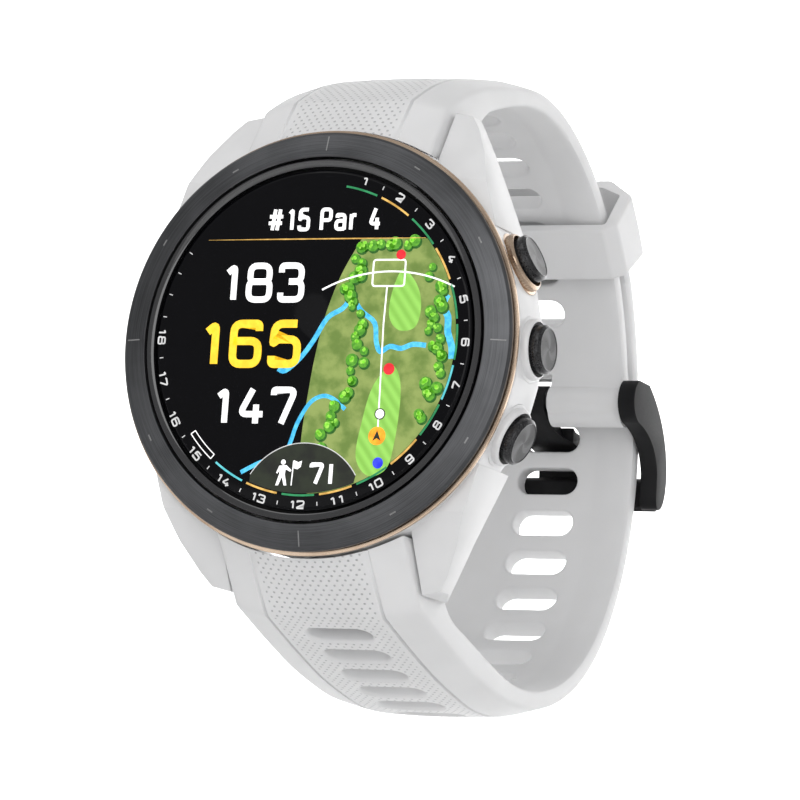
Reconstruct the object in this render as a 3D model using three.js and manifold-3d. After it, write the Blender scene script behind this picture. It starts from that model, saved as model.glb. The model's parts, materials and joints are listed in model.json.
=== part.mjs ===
// Golf GPS watch with its silicone band buckled, in millimetres.
// +X points to 3 o'clock (the buttons), +Z to 12 o'clock, -Y out of the display, +Y to the wrist.
// The origin is the centre of the sensor window's outer face, where the watch rests on the wrist.
import * as THREE from 'three';
import { mergeVertices } from 'three/addons/utils/BufferGeometryUtils.js';
import Module from 'manifold-3d';

const wasm = await Module();
wasm.setup();

// ---------------------------------------------------------------- driving dimensions
const GAP = 0.3; // air left between neighbouring solids
const ROUND = 40; // facets around the case

const CASE_R = 21.0; // case radius
const CASE_FRONT = -9.0; // the case's front edge
const CAVITY_R = 18.4; // hollow inside the case
const COVER_R = 18.3; // back cover radius
const COVER_BACK = -0.7; // the back cover's outer face
const WINDOW_R = 9.6; // sensor window radius

const BEZEL_R = 20.8;
const BEZEL_TOP = -11.3; // the bezel's inner, highest edge
const TRIM_R = 21.15; // the thin ring under the bezel
const LENS_R = 16.9;
const DISPLAY_R = 15.3;

const LUG_INNER = 10.35; // half the space between a pair of lugs
const PIN_Y = -0.4; // lug pins
const PIN_Z = 22.5;
const PIN_R = 0.75;
const PIN_END = 10.75; // half a lug pin's length

const HOOK_R = 1.65; // outer radius of the hook round a lug pin
const FLANGE_END = 25.4; // how far the hook's flange reaches along Z

const BUTTON_ANGLES = { top: 24, middle: 0, bottom: -24 }; // degrees above 3 o'clock
const BUTTON_Y = -5.4;
const CAP_R = 2.4;
const CAP_FACE = 22.7; // distance of a cap's face from the watch's axis
const COLLAR_R = 3.0;
const COLLAR_TOP = 21.6;

const STRAP_HALF = 10.0; // half the band's width
const RAIL = 0.9; // half the thickness of the band's side rails
const BAND_HALF = 6.4; // half the width of the raised middle band
const BAND_TOP = 2.1; // the raised band's height over the mid-surface
const SLOT_LENGTH = 7.0;
const SLOT_WIDTH = 2.9;

// Each strap's mid-line starts at its lug and is a chain of tangent arcs: [length, turn in degrees].
const SHORT_PATH = {
  start: [-4.0, 22.5],
  heading: 30.3,
  arcs: [[20.1, -18.6], [10.2, -26.1], [32.9, -60.9], [4.7, -13.85]],
};
const LONG_PATH = {
  start: [-2.5, -23.55],
  heading: -20.0,
  arcs: [[21.6, 5.75], [17.3, 34.4], [16.35, 38.75], [20.2, 38.35], [12.35, 15.3], [12.45, 21.05]],
};
const SHORT_SLOTS = { first: 9.5, pitch: 4.77, count: 11 };
const LONG_SLOTS = { first: 4.0, pitch: 4.74, count: 19 };

const BAR = [47.1, 3.5]; // the buckle bar's axis (Y, Z)
const BAR_R = 0.75;
const NECK_HALF = 1.35; // half the width of the tongue's neck, and of the notch it stands in
const NOTCH_HALF = 1.75;
const TONGUE_HALF = 2.85;
const ARM_INNER = 10.4; // the buckle arms' inner and outer faces
const ARM_OUTER = 12.3;
const KEEPER_AT = 49.2; // distance of the keeper's middle along the short strap
const KEEPER_LENGTH = 6.5;

// ---------------------------------------------------------------- materials
const paint = (color, roughness, metalness = 0) =>
  new THREE.MeshStandardMaterial({ color, roughness, metalness });
const MATERIALS = {
  silicone: () => paint(0xdedede, 0.65),
  caseWhite: () => paint(0xe2e2e2, 0.4),
  ceramic: () => paint(0x4b4d50, 0.3, 0.7),
  gloss: () => paint(0x0c0c0e, 0.12),
  glass: () => paint(0x101214, 0.05),
  screen: () => paint(0x101810, 0.3),
  rose: () => paint(0xb08a6a, 0.3, 0.9),
  black: () => paint(0x1b1c1e, 0.35),
  rubber: () => paint(0x151515, 0.8),
  steel: () => paint(0xb8bbc0, 0.3, 0.9),
  gold: () => paint(0xd6b25e, 0.3, 0.9),
  board: () => paint(0x14402c, 0.5),
  foil: () => paint(0x8d9196, 0.4, 0.6),
};

const watch = new THREE.Group();

// ---------------------------------------------------------------- solids
// Turns a closed three.js geometry into a solid, with its faces pointing out.
function solid(geometry) {
  const bare = geometry.clone();
  for (const name of Object.keys(bare.attributes)) {
    if (name !== 'position') bare.deleteAttribute(name);
  }
  const merged = mergeVertices(bare, 1e-4);
  const position = merged.attributes.position.array;
  const corners = merged.index.array;
  const kept = [];
  let volume = 0;
  const a = new THREE.Vector3();
  const b = new THREE.Vector3();
  const c = new THREE.Vector3();
  for (let i = 0; i < corners.length; i += 3) {
    const [p, q, r] = [corners[i], corners[i + 1], corners[i + 2]];
    if (p === q || q === r || r === p) continue;
    kept.push(p, q, r);
    a.fromArray(position, 3 * p);
    b.fromArray(position, 3 * q);
    c.fromArray(position, 3 * r);
    volume += a.dot(b.cross(c));
  }
  if (volume < 0) kept.reverse();
  const mesh = new wasm.Mesh({
    numProp: 3,
    vertProperties: new Float32Array(position),
    triVerts: new Uint32Array(kept),
  });
  return new wasm.Manifold(mesh);
}

// A closed profile of [radius, y] points turned about the Y axis.
function lathe(profile, segments = ROUND) {
  const points = profile.map(([r, y]) => new THREE.Vector2(r, y));
  const ends = [points[0], points[points.length - 1]];
  if (ends.some((p) => p.x > 0)) points.push(points[0].clone());
  return solid(new THREE.LatheGeometry(points, segments));
}

const ring = (inner, outer, y0, y1, segments) =>
  lathe([[inner, y0], [outer, y0], [outer, y1], [inner, y1]], segments);
const disc = (radius, y0, y1, segments) =>
  lathe([[0, y0], [radius, y0], [radius, y1], [0, y1]], segments);

function box(x0, x1, y0, y1, z0, z1) {
  const geometry = new THREE.BoxGeometry(x1 - x0, y1 - y0, z1 - z0);
  return solid(geometry.translate((x0 + x1) / 2, (y0 + y1) / 2, (z0 + z1) / 2));
}

// The corners of a regular polygon in the XZ plane. An odd count leaves no edge through the centre.
const polygon = (radius, sides) => Array.from({ length: sides }, (_, i) => {
  const a = (i * 2 * Math.PI) / sides;
  return [radius * Math.cos(a), radius * Math.sin(a)];
});

// Maps a geometry's own x, y, z axes onto the given ones and moves it.
function placed(geometry, xAxis, yAxis, zAxis, at) {
  const matrix = new THREE.Matrix4().makeBasis(xAxis, yAxis, zAxis).setPosition(at);
  return geometry.applyMatrix4(matrix);
}

const X = new THREE.Vector3(1, 0, 0);
const Y = new THREE.Vector3(0, 1, 0);
const Z = new THREE.Vector3(0, 0, 1);

// A side outline of [y, z] points, extruded from x0 to x1.
function sideSlab(outline, x0, x1) {
  const shape = outline instanceof THREE.Shape
    ? outline
    : new THREE.Shape(outline.map(([y, z]) => new THREE.Vector2(y, z)));
  const geometry = new THREE.ExtrudeGeometry(shape, {
    depth: x1 - x0, bevelEnabled: false, curveSegments: 6,
  });
  return solid(placed(geometry, Y, Z, X, new THREE.Vector3(x0, 0, 0)));
}

// A plan outline of [x, z] points, extruded from y0 to y1.
function planSlab(outline, y0, y1) {
  const shape = new THREE.Shape(outline.map(([x, z]) => new THREE.Vector2(x, z)));
  const geometry = new THREE.ExtrudeGeometry(shape, { depth: y1 - y0, bevelEnabled: false });
  const minusY = Y.clone().negate();
  return solid(placed(geometry, X, Z, minusY, new THREE.Vector3(0, y1, 0)));
}

// A rod along X.
function rod(radius, x0, x1, y, z, segments = 16) {
  const geometry = new THREE.CylinderGeometry(radius, radius, x1 - x0, segments);
  geometry.rotateZ(Math.PI / 2);
  return solid(geometry.translate((x0 + x1) / 2, y, z));
}

// The same outline on the 6 o'clock side.
const mirrorZ = (outline) => outline.map(([a, z]) => [a, -z]).reverse();

function add(name, body, material) {
  const { vertProperties, triVerts } = body.getMesh();
  const geometry = new THREE.BufferGeometry();
  geometry.setAttribute('position', new THREE.BufferAttribute(vertProperties.slice(), 3));
  geometry.setIndex(new THREE.BufferAttribute(triVerts.slice(), 1));
  geometry.computeVertexNormals();
  const mesh = new THREE.Mesh(geometry, MATERIALS[material]());
  mesh.name = name;
  watch.add(mesh);
}

// ---------------------------------------------------------------- strap paths
// A chain of tangent arcs in the YZ plane, measured by its length.
class ArcChain extends THREE.Curve {
  constructor({ start, heading, arcs }) {
    super();
    this.start = start;
    this.heading = THREE.MathUtils.degToRad(heading);
    this.arcs = arcs.map(([length, turn]) => [length, THREE.MathUtils.degToRad(turn)]);
    this.total = arcs.reduce((sum, [length]) => sum + length, 0);
  }

  // The point and heading at a distance along the chain.
  at(distance) {
    let [y, z] = this.start;
    let heading = this.heading;
    let left = distance;
    for (const [i, [length, turn]] of this.arcs.entries()) {
      const run = i === this.arcs.length - 1 ? left : Math.min(left, length);
      const radius = length / turn;
      const next = heading + run / radius;
      y += radius * (Math.sin(next) - Math.sin(heading));
      z -= radius * (Math.cos(next) - Math.cos(heading));
      heading = next;
      left -= run;
      if (left <= 0) break;
    }
    return { y, z, heading };
  }

  getPoint(t, target = new THREE.Vector3()) {
    const { y, z } = this.at(t * this.total);
    return target.set(0, y, z);
  }
}

const shortPath = new ArcChain(SHORT_PATH);
const longPath = new ArcChain(LONG_PATH);

// The band's cross-section, with its raised side towards +1 or -1 times the path's left normal.
function strapSection(side) {
  const half = [
    [STRAP_HALF, -RAIL], [STRAP_HALF, RAIL], [BAND_HALF, BAND_TOP],
  ];
  const inner = [[-6.0, -0.1], [6.0, -0.1], [7.4, -RAIL]];
  const outline = [
    ...half, ...half.map(([x, n]) => [-x, n]).reverse(), [-7.4, -RAIL], ...inner,
  ];
  return new THREE.Shape(outline.map(([x, n]) => new THREE.Vector2(x, n * side)));
}

function sweepStrap(path, side, steps) {
  return solid(new THREE.ExtrudeGeometry(strapSection(side), { steps, extrudePath: path }));
}

// A frame on the strap: its place, the direction along it and the left normal.
function frameAt(path, distance) {
  const { y, z, heading } = path.at(distance);
  const along = new THREE.Vector3(0, Math.cos(heading), Math.sin(heading));
  const normal = new THREE.Vector3(0, -Math.sin(heading), Math.cos(heading));
  return { place: new THREE.Vector3(0, y, z), along, normal };
}

// A round-ended prism through the strap.
function slotCutter(path, distance) {
  const r = SLOT_WIDTH / 2;
  const straight = SLOT_LENGTH / 2 - r;
  const shape = new THREE.Shape();
  shape.absarc(straight, 0, r, -Math.PI / 2, Math.PI / 2);
  shape.absarc(-straight, 0, r, Math.PI / 2, Math.PI * 1.5);
  const geometry = new THREE.ExtrudeGeometry(shape, {
    depth: 8, bevelEnabled: false, curveSegments: 2,
  });
  geometry.translate(0, 0, -4);
  const { place, along, normal } = frameAt(path, distance);
  return solid(placed(geometry, X, along, normal, place));
}

function cutSlots(body, path, { first, pitch, count }) {
  let cut = body;
  for (let i = 0; i < count; i += 1) {
    cut = cut.subtract(slotCutter(path, first + i * pitch));
  }
  return cut;
}

// ---------------------------------------------------------------- case and its contents
const LUG_PLAN = [
  [LUG_INNER, 15], [LUG_INNER, 24.0], [12.3, 23.6], [13.3, 22.3], [14.9, 19.5],
  [16.3, 15.9], [17.5, 11.75], [14.5, 11.5],
];
const LUG_SIDE = [
  [-8.7, 10], [-8.4, 16.4], [-7.3, 18.4], [-3.9, 23.7], [-3.6, 24.2], [2.7, 24.2], [2.9, 23.4],
  [1.6, 20.6], [-0.6, 18.6], [-0.8, 10],
];

// A lug's outer side leans in towards the wrist. The plane's normal points out of the lug.
const LUG_FACE_NORMAL = [1, 0.43, 0.463];
const LUG_FACE_REACH = 19.0; // the plane's distance from the origin

function buildCase() {
  let body = lathe([
    [CAVITY_R, CASE_FRONT], [CASE_R - 0.3, CASE_FRONT], [CASE_R, CASE_FRONT + 0.3],
    [CASE_R, -3.2], [20.4, -1.5], [19.7, -0.8], [18.6, -0.8], [18.6, -2.4], [16.4, -2.4],
    [16.4, -3.2], [15.3, -3.2], [15.3, -2.4], [15.0, -2.4], [15.0, -4.2], [CAVITY_R, -4.2],
  ]);
  const hollow = disc(CAVITY_R - 0.05, -12, 4);
  for (const signX of [1, -1]) {
    for (const signZ of [1, -1]) {
      const flip = signX * signZ < 0;
      const plan = LUG_PLAN.map(([x, z]) => [x * signX, z * signZ]);
      const side = signZ > 0 ? LUG_SIDE : mirrorZ(LUG_SIDE);
      const [nx, ny, nz] = LUG_FACE_NORMAL;
      const lug = planSlab(flip ? plan.reverse() : plan, -9, 4)
        .intersect(sideSlab(side, -20, 20))
        .trimByPlane([-nx * signX, -ny, -nz * signZ], -LUG_FACE_REACH);
      body = body.add(lug.subtract(hollow));
    }
  }
  for (const z of [PIN_Z, -PIN_Z]) {
    body = body.subtract(rod(PIN_R + GAP, -PIN_END - GAP, PIN_END + GAP, PIN_Y, z));
  }
  for (const angle of Object.values(BUTTON_ANGLES)) {
    body = body.subtract(alongButton(disc(COLLAR_R + GAP, 20.0, 26, 24), angle));
    body = body.subtract(alongButton(disc(1.8, 18.65, 21, 16), angle));
    body = body.subtract(alongButton(disc(1.1, 17, 19, 16), angle));
    body = body.subtract(alongButton(disc(1.8, 16, 18.25, 16), angle));
  }
  for (const [x, z] of screwPlaces()) {
    body = body.subtract(disc(0.75, -4.1, -2, 8).translate([x, 0, z]));
  }
  return body;
}

// Takes a solid made along +Y from the origin and lays its axis on a button's axis.
function alongButton(body, angle) {
  return body.rotate([0, 0, -90]).translate([0, BUTTON_Y, 0]).rotate([0, -angle, 0]);
}

function screwPlaces() {
  return [45, 135, 225, 315].map((degrees) => {
    const a = THREE.MathUtils.degToRad(degrees);
    return [17.3 * Math.cos(a), 17.3 * Math.sin(a)];
  });
}

function addFront() {
  add('bezel', lathe([
    [18.2, BEZEL_TOP], [BEZEL_R - 0.25, -10.6], [BEZEL_R, -10.35], [BEZEL_R, -9.95], [18.2, -9.95],
  ]), 'ceramic');
  add('bezel_chamfer_ring', lathe([
    [17.2, -11.15], [17.9, -11.3], [17.9, -9.95], [17.2, -9.95],
  ]), 'gloss');
  add('bezel_trim_ring', ring(18.7, TRIM_R, -9.65, -9.3), 'rose');
  add('lens', lathe([[0, -11.2], [LENS_R - 0.4, -11.2], [LENS_R, -11.0], [LENS_R, -10.0], [0, -10.0]]),
    'glass');
  add('lens_gasket', ring(DISPLAY_R + GAP, 18.0, -9.65, -9.3, 32), 'rubber');
  add('display_panel', disc(DISPLAY_R, -9.7, -8.8, 36), 'screen');
}

function addInside() {
  const chassis = disc(16.7, -8.5, -7.9, 32).subtract(box(-13, -8, -9, -7, -3, 3));
  add('mid_frame', chassis, 'black');
  add('display_flex', box(-12.6, -8.4, -8.4, -7.75, -2.4, 2.4), 'gold');
  add('gps_antenna', ring(17.1, 18.0, -8.7, -7.5).intersect(box(-20, 9, -10, -6, 2, 20)), 'foil');
  add('main_board', disc(16.8, -7.5, -6.7, 32), 'board');
  add('board_shield', box(-8, 8, -6.4, -5.6, -4.5, 9.5), 'foil');
  add('battery', box(-10.5, 10.5, -5.3, -3.3, -5, 10), 'black');
  add('vibration_motor', disc(4.0, -6.4, -4.8, 24).translate([-4.6, 0, -9.8]), 'steel');
  add('sensor_board', disc(8.6, -3.0, -2.4, 24), 'board');
  for (const [name, x, z] of [['emitter', 0, 0], ['upper_detector', 0, 4.6], ['lower_detector', 0, -4.6]]) {
    add(`sensor_${name}`, box(x - 1.6, x + 1.6, -2.1, -1.35, z - 1.3, z + 1.3), 'glass');
  }
}

function addBack() {
  let cover = disc(COVER_R, -2.1, COVER_BACK).subtract(disc(WINDOW_R + GAP, -3, 1, 36));
  cover = cover.subtract(box(-3.7, 3.7, -3, 1, -14.8, -12.2));
  for (const [x, z] of screwPlaces()) {
    cover = cover.subtract(disc(1.25, -3, 1, 12).translate([x, 0, z]));
  }
  add('back_cover', cover, 'black');
  add('back_cover_gasket', ring(15.6, 16.1, -2.9, -2.4), 'rubber');
  screwPlaces().forEach(([x, z], i) => {
    const screw = disc(0.95, -1.35, -0.8, 12).add(disc(0.45, -3.9, -1.3, 8));
    const drive = box(-0.45, 0.45, -1.05, 0, -0.14, 0.14);
    add(`back_cover_screw_${i + 1}`, screw.subtract(drive).translate([x, 0, z]), 'steel');
  });
  add('sensor_window', planSlab(polygon(WINDOW_R, 37), -1.05, 0), 'gloss');
  const port = box(-3.4, 3.4, -2.0, -0.9, -14.5, -12.5);
  const pins = [-2.25, -0.75, 0.75, 2.25];
  const drilled = pins.reduce(
    (body, x) => body.subtract(box(x - 0.5, x + 0.5, -3, 1, -14.0, -13.0)), port);
  add('charging_port', drilled, 'black');
  pins.forEach((x, i) => {
    add(`charging_contact_${i + 1}`, box(x - 0.25, x + 0.25, -2.0, -0.95, -13.75, -13.25), 'gold');
  });
}

// ---------------------------------------------------------------- buttons
// A coil of round wire about the Y axis.
class Coil extends THREE.Curve {
  constructor(radius, y0, y1, turns) {
    super();
    Object.assign(this, { radius, y0, y1, turns });
  }

  getPoint(t, target = new THREE.Vector3()) {
    const a = t * this.turns * Math.PI * 2;
    const y = this.y0 + t * (this.y1 - this.y0);
    return target.set(this.radius * Math.cos(a), y, this.radius * Math.sin(a));
  }
}

const wireSection = (radius, sides) =>
  new THREE.Shape(polygon(radius, sides).map(([x, y]) => new THREE.Vector2(x, y)));

function addButton(name, angle) {
  const put = (part, body, material) => add(`${name}_button_${part}`, alongButton(body, angle), material);
  const stem = disc(0.8, 17.5, 21.6, 16).subtract(ring(0.5, 1.2, 17.8, 18.3, 16));
  const cap = lathe([
    [0, 21.4], [CAP_R, 21.4], [CAP_R, CAP_FACE - 0.25], [CAP_R - 0.25, CAP_FACE], [0, CAP_FACE],
  ], 24);
  put('cap', cap.add(stem), 'black');
  const collar = lathe([
    [CAP_R + GAP, 20.3], [COLLAR_R, 20.3], [COLLAR_R, COLLAR_TOP - 0.25],
    [COLLAR_R - 0.15, COLLAR_TOP], [CAP_R + GAP, COLLAR_TOP],
  ], 24);
  put('collar', collar, name === 'top' ? 'rose' : 'caseWhite');
  const coil = new Coil(1.9, 20.42, 20.76, 2);
  const wire = new THREE.ExtrudeGeometry(wireSection(0.11, 4), { steps: 20, extrudePath: coil });
  put('spring', solid(wire), 'steel');
  put('seal', lathe([[1.0, 19.15], [1.25, 18.9], [1.5, 19.15], [1.25, 19.4]], 16),
    'rubber');
  const clip = ring(0.6, 1.4, 17.95, 18.15, 16).subtract(box(0, 2, 17, 19, -0.4, 0.4));
  put('clip', clip, 'steel');
  put('switch', box(-0.9, 0.9, 15.4, 16.7, -1.2, 1.2), 'steel');
}

// ---------------------------------------------------------------- band
// The thick end of a strap, between the lugs, as outlines on the 12 o'clock side. Each front runs
// from the case to the strap's outer face.
const END_RAIL_FRONT = [[-8.8, 17.0], [-8.5, 19.6]];
const END_RAIL_BACK = [
  [3.0, 26.3], [6.1, 26.4], [3.1, 24.2], [2.4, 22.8], [1.0, 20.0], [-0.4, 17.0],
];
const END_BAND_FRONT = [[-9.0, 17.0], [-8.7, 21.0]];
const END_BAND_BACK = [[-2.0, 24.0], [-4.0, 17.0]];
// How much thicker a strap is where it leaves its lugs. The swelling is flat, then fades to nothing.
const SHORT_SWELL = { height: 1.0, flat: 4.0, end: 20.0 };
const LONG_SWELL = { height: 1.0, flat: 12.0, end: 32.0 };

// A point above a strap's mid-line, as [y, z] on the 12 o'clock side.
function above(path, sign, s, height) {
  const { y, z, heading } = path.at(s);
  return [y - sign * height * Math.sin(heading), sign * z + height * Math.cos(heading)];
}

function strapEnd(path, sign, swelling) {
  const swellAt = (s) => {
    const fade = THREE.MathUtils.smoothstep(s, swelling.flat, swelling.end);
    return swelling.height * (1 - fade);
  };
  const turned = (outline) => (sign > 0 ? outline : mirrorZ(outline));
  const layer = (front, back, height, half) => {
    const end = [...front, above(path, sign, 0, height + swelling.height), ...back];
    const stations = Array.from({ length: 13 }, (_, i) => (swelling.end * i) / 12);
    const swell = stations.map((s) => above(path, sign, s, height + swellAt(s)));
    swell.push(...stations.reverse().map((s) => above(path, sign, s, 0)));
    return sideSlab(turned(end), -half, half).add(sideSlab(turned(swell), -half, half));
  };
  return layer(END_RAIL_FRONT, END_RAIL_BACK, RAIL, STRAP_HALF)
    .add(layer(END_BAND_FRONT, END_BAND_BACK, BAND_TOP, BAND_HALF));
}

// The space that the pin, the hook and the latch need, open towards the wrist.
function endCutter(sign) {
  const lane = PIN_R + GAP;
  const pinZ = PIN_Z * sign;
  const z = (a, b) => (sign > 0 ? [a, b] : [-b, -a]);
  let cutter = disc(CASE_R + GAP, -12, 4);
  cutter = cutter.add(rod(lane, -11, 11, PIN_Y, pinZ));
  cutter = cutter.add(box(-11, 11, PIN_Y, 5, pinZ - lane, pinZ + lane));
  cutter = cutter.add(rod(HOOK_R + GAP, -5, 5, PIN_Y, pinZ));
  cutter = cutter.add(box(-5, 5, PIN_Y, 8, ...z(PIN_Z - HOOK_R - GAP, PIN_Z + HOOK_R + GAP)));
  cutter = cutter.add(box(-5, 5, 0.4, 8, ...z(PIN_Z, 26.4)));
  return cutter;
}

// The steel hook that takes the lug pin, with a flange along the strap.
function hook(sign) {
  const inner = PIN_R + GAP;
  const shape = new THREE.Shape();
  shape.moveTo(1.0, PIN_Z + inner);
  shape.lineTo(PIN_Y, PIN_Z + inner);
  shape.absarc(PIN_Y, PIN_Z, inner, Math.PI / 2, Math.PI * 1.25);
  shape.absarc(PIN_Y, PIN_Z, HOOK_R, Math.PI * 1.25, Math.PI / 2, true);
  shape.lineTo(0.7, PIN_Z + HOOK_R);
  shape.lineTo(0.7, FLANGE_END);
  shape.lineTo(1.2, FLANGE_END);
  shape.lineTo(1.2, PIN_Z + inner);
  const body = sideSlab(shape, -4.7, 4.7);
  return sign > 0 ? body : body.mirror([0, 0, 1]);
}

function latch(sign) {
  const plate = sideSlab([[1.55, 23.65], [1.55, 25.4], [2.6, 25.4], [3.0, 25.0], [3.0, 24.3], [2.3, 23.65]],
    -3.6, 3.6);
  return sign > 0 ? plate : plate.mirror([0, 0, 1]);
}

const KEEPER_CENTRE = arcCentre(SHORT_PATH, 2);

// The centre of one of a path's arcs, as [y, z].
function arcCentre(path, index) {
  const chain = new ArcChain(path);
  const before = path.arcs.slice(0, index).reduce((sum, [length]) => sum + length, 0);
  const { y, z, heading } = chain.at(before);
  const [length, turn] = chain.arcs[index];
  const radius = length / turn;
  return [y - radius * Math.sin(heading), z + radius * Math.cos(heading)];
}

function buildShortStrap() {
  let strap = sweepStrap(shortPath, 1, 26).add(strapEnd(shortPath, 1, SHORT_SWELL)).subtract(endCutter(1));
  strap = cutSlots(strap, shortPath, SHORT_SLOTS);
  strap = strap.add(rod(1.75, -STRAP_HALF, STRAP_HALF, ...BAR, 20));
  strap = strap.subtract(rod(BAR_R + GAP, -11, 11, ...BAR));
  return strap.subtract(box(-NOTCH_HALF, NOTCH_HALF, 40, 52, -1, 6.4));
}

function buildLongStrap() {
  const strap = sweepStrap(longPath, -1, 40).add(strapEnd(longPath, -1, LONG_SWELL)).subtract(endCutter(-1));
  return cutSlots(strap, longPath, LONG_SLOTS);
}

// The loop that holds the strap's tail, as a section swept along the strap's arc.
function buildKeeper() {
  const outer = [
    [-10.4, -2.4], [10.4, -2.4], [11.7, -1.2], [11.7, 4.2], [8.6, 7.0], [-8.6, 7.0], [-11.7, 4.2],
    [-11.7, -1.2],
  ];
  const inner = [
    [-10.4, -1.3], [10.4, -1.3], [10.4, 4.1], [7.9, 5.6], [-7.9, 5.6], [-10.4, 4.1],
  ];
  const shape = new THREE.Shape(outer.map(([x, n]) => new THREE.Vector2(x, n)));
  shape.holes.push(new THREE.Path(inner.map(([x, n]) => new THREE.Vector2(x, n)).reverse()));
  const [y, z] = KEEPER_CENTRE;
  const first = shortPath.at(KEEPER_AT - KEEPER_LENGTH / 2);
  const radius = Math.hypot(first.y - y, first.z - z);
  const stretch = new ArcChain({
    start: [first.y, first.z],
    heading: THREE.MathUtils.radToDeg(first.heading),
    arcs: [[KEEPER_LENGTH, -THREE.MathUtils.radToDeg(KEEPER_LENGTH / radius)]],
  });
  return solid(new THREE.ExtrudeGeometry(shape, { steps: 4, extrudePath: stretch }));
}

// ---------------------------------------------------------------- buckle
const ARM_OUTLINE = (() => {
  const shape = new THREE.Shape();
  shape.moveTo(45.6, 5.5);
  shape.absarc(46.7, 3.5, 2.4, Math.PI * 0.65, Math.PI * 1.45);
  shape.quadraticCurveTo(51.4, 0.2, 52.4, -3.4);
  shape.lineTo(52.6, -6.2);
  shape.quadraticCurveTo(52.7, -7.2, 53.5, -7.2);
  shape.quadraticCurveTo(55.3, -6.8, 55.3, -3.4);
  shape.quadraticCurveTo(54.6, 2.2, 48.6, 5.6);
  return shape;
})();
const RIM_OUTLINE = [[54.15, -4.0], [54.0, -6.8], [54.6, -7.3], [55.3, -6.8], [55.5, -4.0], [54.9, -3.5]];

function buildBuckleFrame() {
  let frame = sideSlab(ARM_OUTLINE, ARM_INNER, ARM_OUTER);
  frame = frame.add(sideSlab(ARM_OUTLINE, -ARM_OUTER, -ARM_INNER));
  frame = frame.add(sideSlab(RIM_OUTLINE, -ARM_OUTER + 0.4, ARM_OUTER - 0.4));
  return frame.subtract(rod(BAR_R + GAP, -11.8, 11.8, ...BAR));
}

// The tongue turns on the bar, passes through a slot of the long strap and lies on the rim.
function buildTongue() {
  const shape = new THREE.Shape();
  shape.absarc(BAR[0], BAR[1], 1.75, Math.PI * 0.25, Math.PI * 1.3);
  shape.quadraticCurveTo(48.8, 0.5, 51.4, -0.35);
  shape.lineTo(53.9, -0.75);
  shape.quadraticCurveTo(55.8, -1.2, 55.85, -3.4);
  shape.lineTo(55.85, -6.9);
  shape.lineTo(56.75, -6.9);
  shape.lineTo(56.85, -2.8);
  shape.quadraticCurveTo(56.5, 0.4, 53.8, 0.7);
  shape.lineTo(51.6, 0.95);
  shape.quadraticCurveTo(50.0, 1.7, 49.2, 4.0);
  const side = sideSlab(shape, -TONGUE_HALF, TONGUE_HALF);
  const waist = planSlab([
    [NECK_HALF, 7], [NECK_HALF, 1.2], [1.7, 0.5], [2.5, -0.1], [3.5, -0.3], [4, 7],
  ], 44, 51);
  return side.subtract(waist).subtract(waist.mirror([1, 0, 0]))
    .subtract(rod(BAR_R + GAP, -5, 5, ...BAR));
}

// ---------------------------------------------------------------- the whole watch
add('case_body', buildCase(), 'caseWhite');
addFront();
addInside();
addBack();
for (const [name, angle] of Object.entries(BUTTON_ANGLES)) addButton(name, angle);
for (const [name, sign] of [['upper', 1], ['lower', -1]]) {
  add(`${name}_lug_pin`, rod(PIN_R, -PIN_END, PIN_END, PIN_Y, PIN_Z * sign), 'steel');
  add(`${name}_hook`, hook(sign), 'steel');
  add(`${name}_latch`, latch(sign), 'steel');
}
add('short_strap', buildShortStrap(), 'silicone');
add('long_strap', buildLongStrap(), 'silicone');
add('keeper', buildKeeper(), 'silicone');
add('buckle_bar', rod(BAR_R, -11.5, 11.5, ...BAR), 'steel');
add('buckle_frame', buildBuckleFrame(), 'black');
add('buckle_tongue', buildTongue(), 'black');

export default watch;
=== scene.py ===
"""The looks of a golf GPS watch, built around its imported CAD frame.

Sizes are in millimetres and become metres when a mesh is made. +X is 3 o'clock, +Z is 12 o'clock and
-Y is out of the display. The origin is the middle of the sensor window.
"""
import json
import math
import random

import bmesh
import bpy
import numpy as np
from mathutils import Matrix, Vector
from mathutils.kdtree import KDTree


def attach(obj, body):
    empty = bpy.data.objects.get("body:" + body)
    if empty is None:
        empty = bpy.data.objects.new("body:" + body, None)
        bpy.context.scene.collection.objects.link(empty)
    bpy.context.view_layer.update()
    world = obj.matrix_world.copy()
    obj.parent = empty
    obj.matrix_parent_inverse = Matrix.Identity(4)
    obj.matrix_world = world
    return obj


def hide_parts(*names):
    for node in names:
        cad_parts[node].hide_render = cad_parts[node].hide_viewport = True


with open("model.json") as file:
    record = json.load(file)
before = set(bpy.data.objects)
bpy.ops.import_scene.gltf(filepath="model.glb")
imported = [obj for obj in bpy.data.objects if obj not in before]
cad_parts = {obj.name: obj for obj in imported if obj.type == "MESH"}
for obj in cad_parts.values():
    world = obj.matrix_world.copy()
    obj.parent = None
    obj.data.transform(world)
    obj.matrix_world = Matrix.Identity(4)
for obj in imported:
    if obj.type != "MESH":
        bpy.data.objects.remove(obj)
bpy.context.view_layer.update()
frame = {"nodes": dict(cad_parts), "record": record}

MM = 0.001

# Case and front
BEZEL_R = 20.8
BEZEL_SLOPE_R = BEZEL_R - 0.25  # where the sloping face ends
BEZEL_INNER = 18.2
BEZEL_TOP = -11.3
BEZEL_EDGE = -10.6
BEZEL_BACK = -9.95
CHAMFER_INNER, CHAMFER_OUTER = 17.2, 17.9
TRIM_FRONT, TRIM_BACK = -9.65, -9.3
LENS_TOP = -11.2
LENS_R = 16.9
TRIM_R = 21.15
SEAT_R = 21.3  # the cylinder that the strap ends leave free for the case
SEAT_TOP = -8.85  # how high the strap ends stand there

# Buttons
BUTTON_Y = -5.4
BUTTON_ANGLES = {"top": 24.0, "middle": 0.0, "bottom": -24.0}
CAP_R = 2.4
CAP_FACE = 22.7
CAP_UNDER = 21.4
STEM_R = 0.8
COLLAR_R = 3.0
COLLAR_TOP = 21.6

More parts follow.
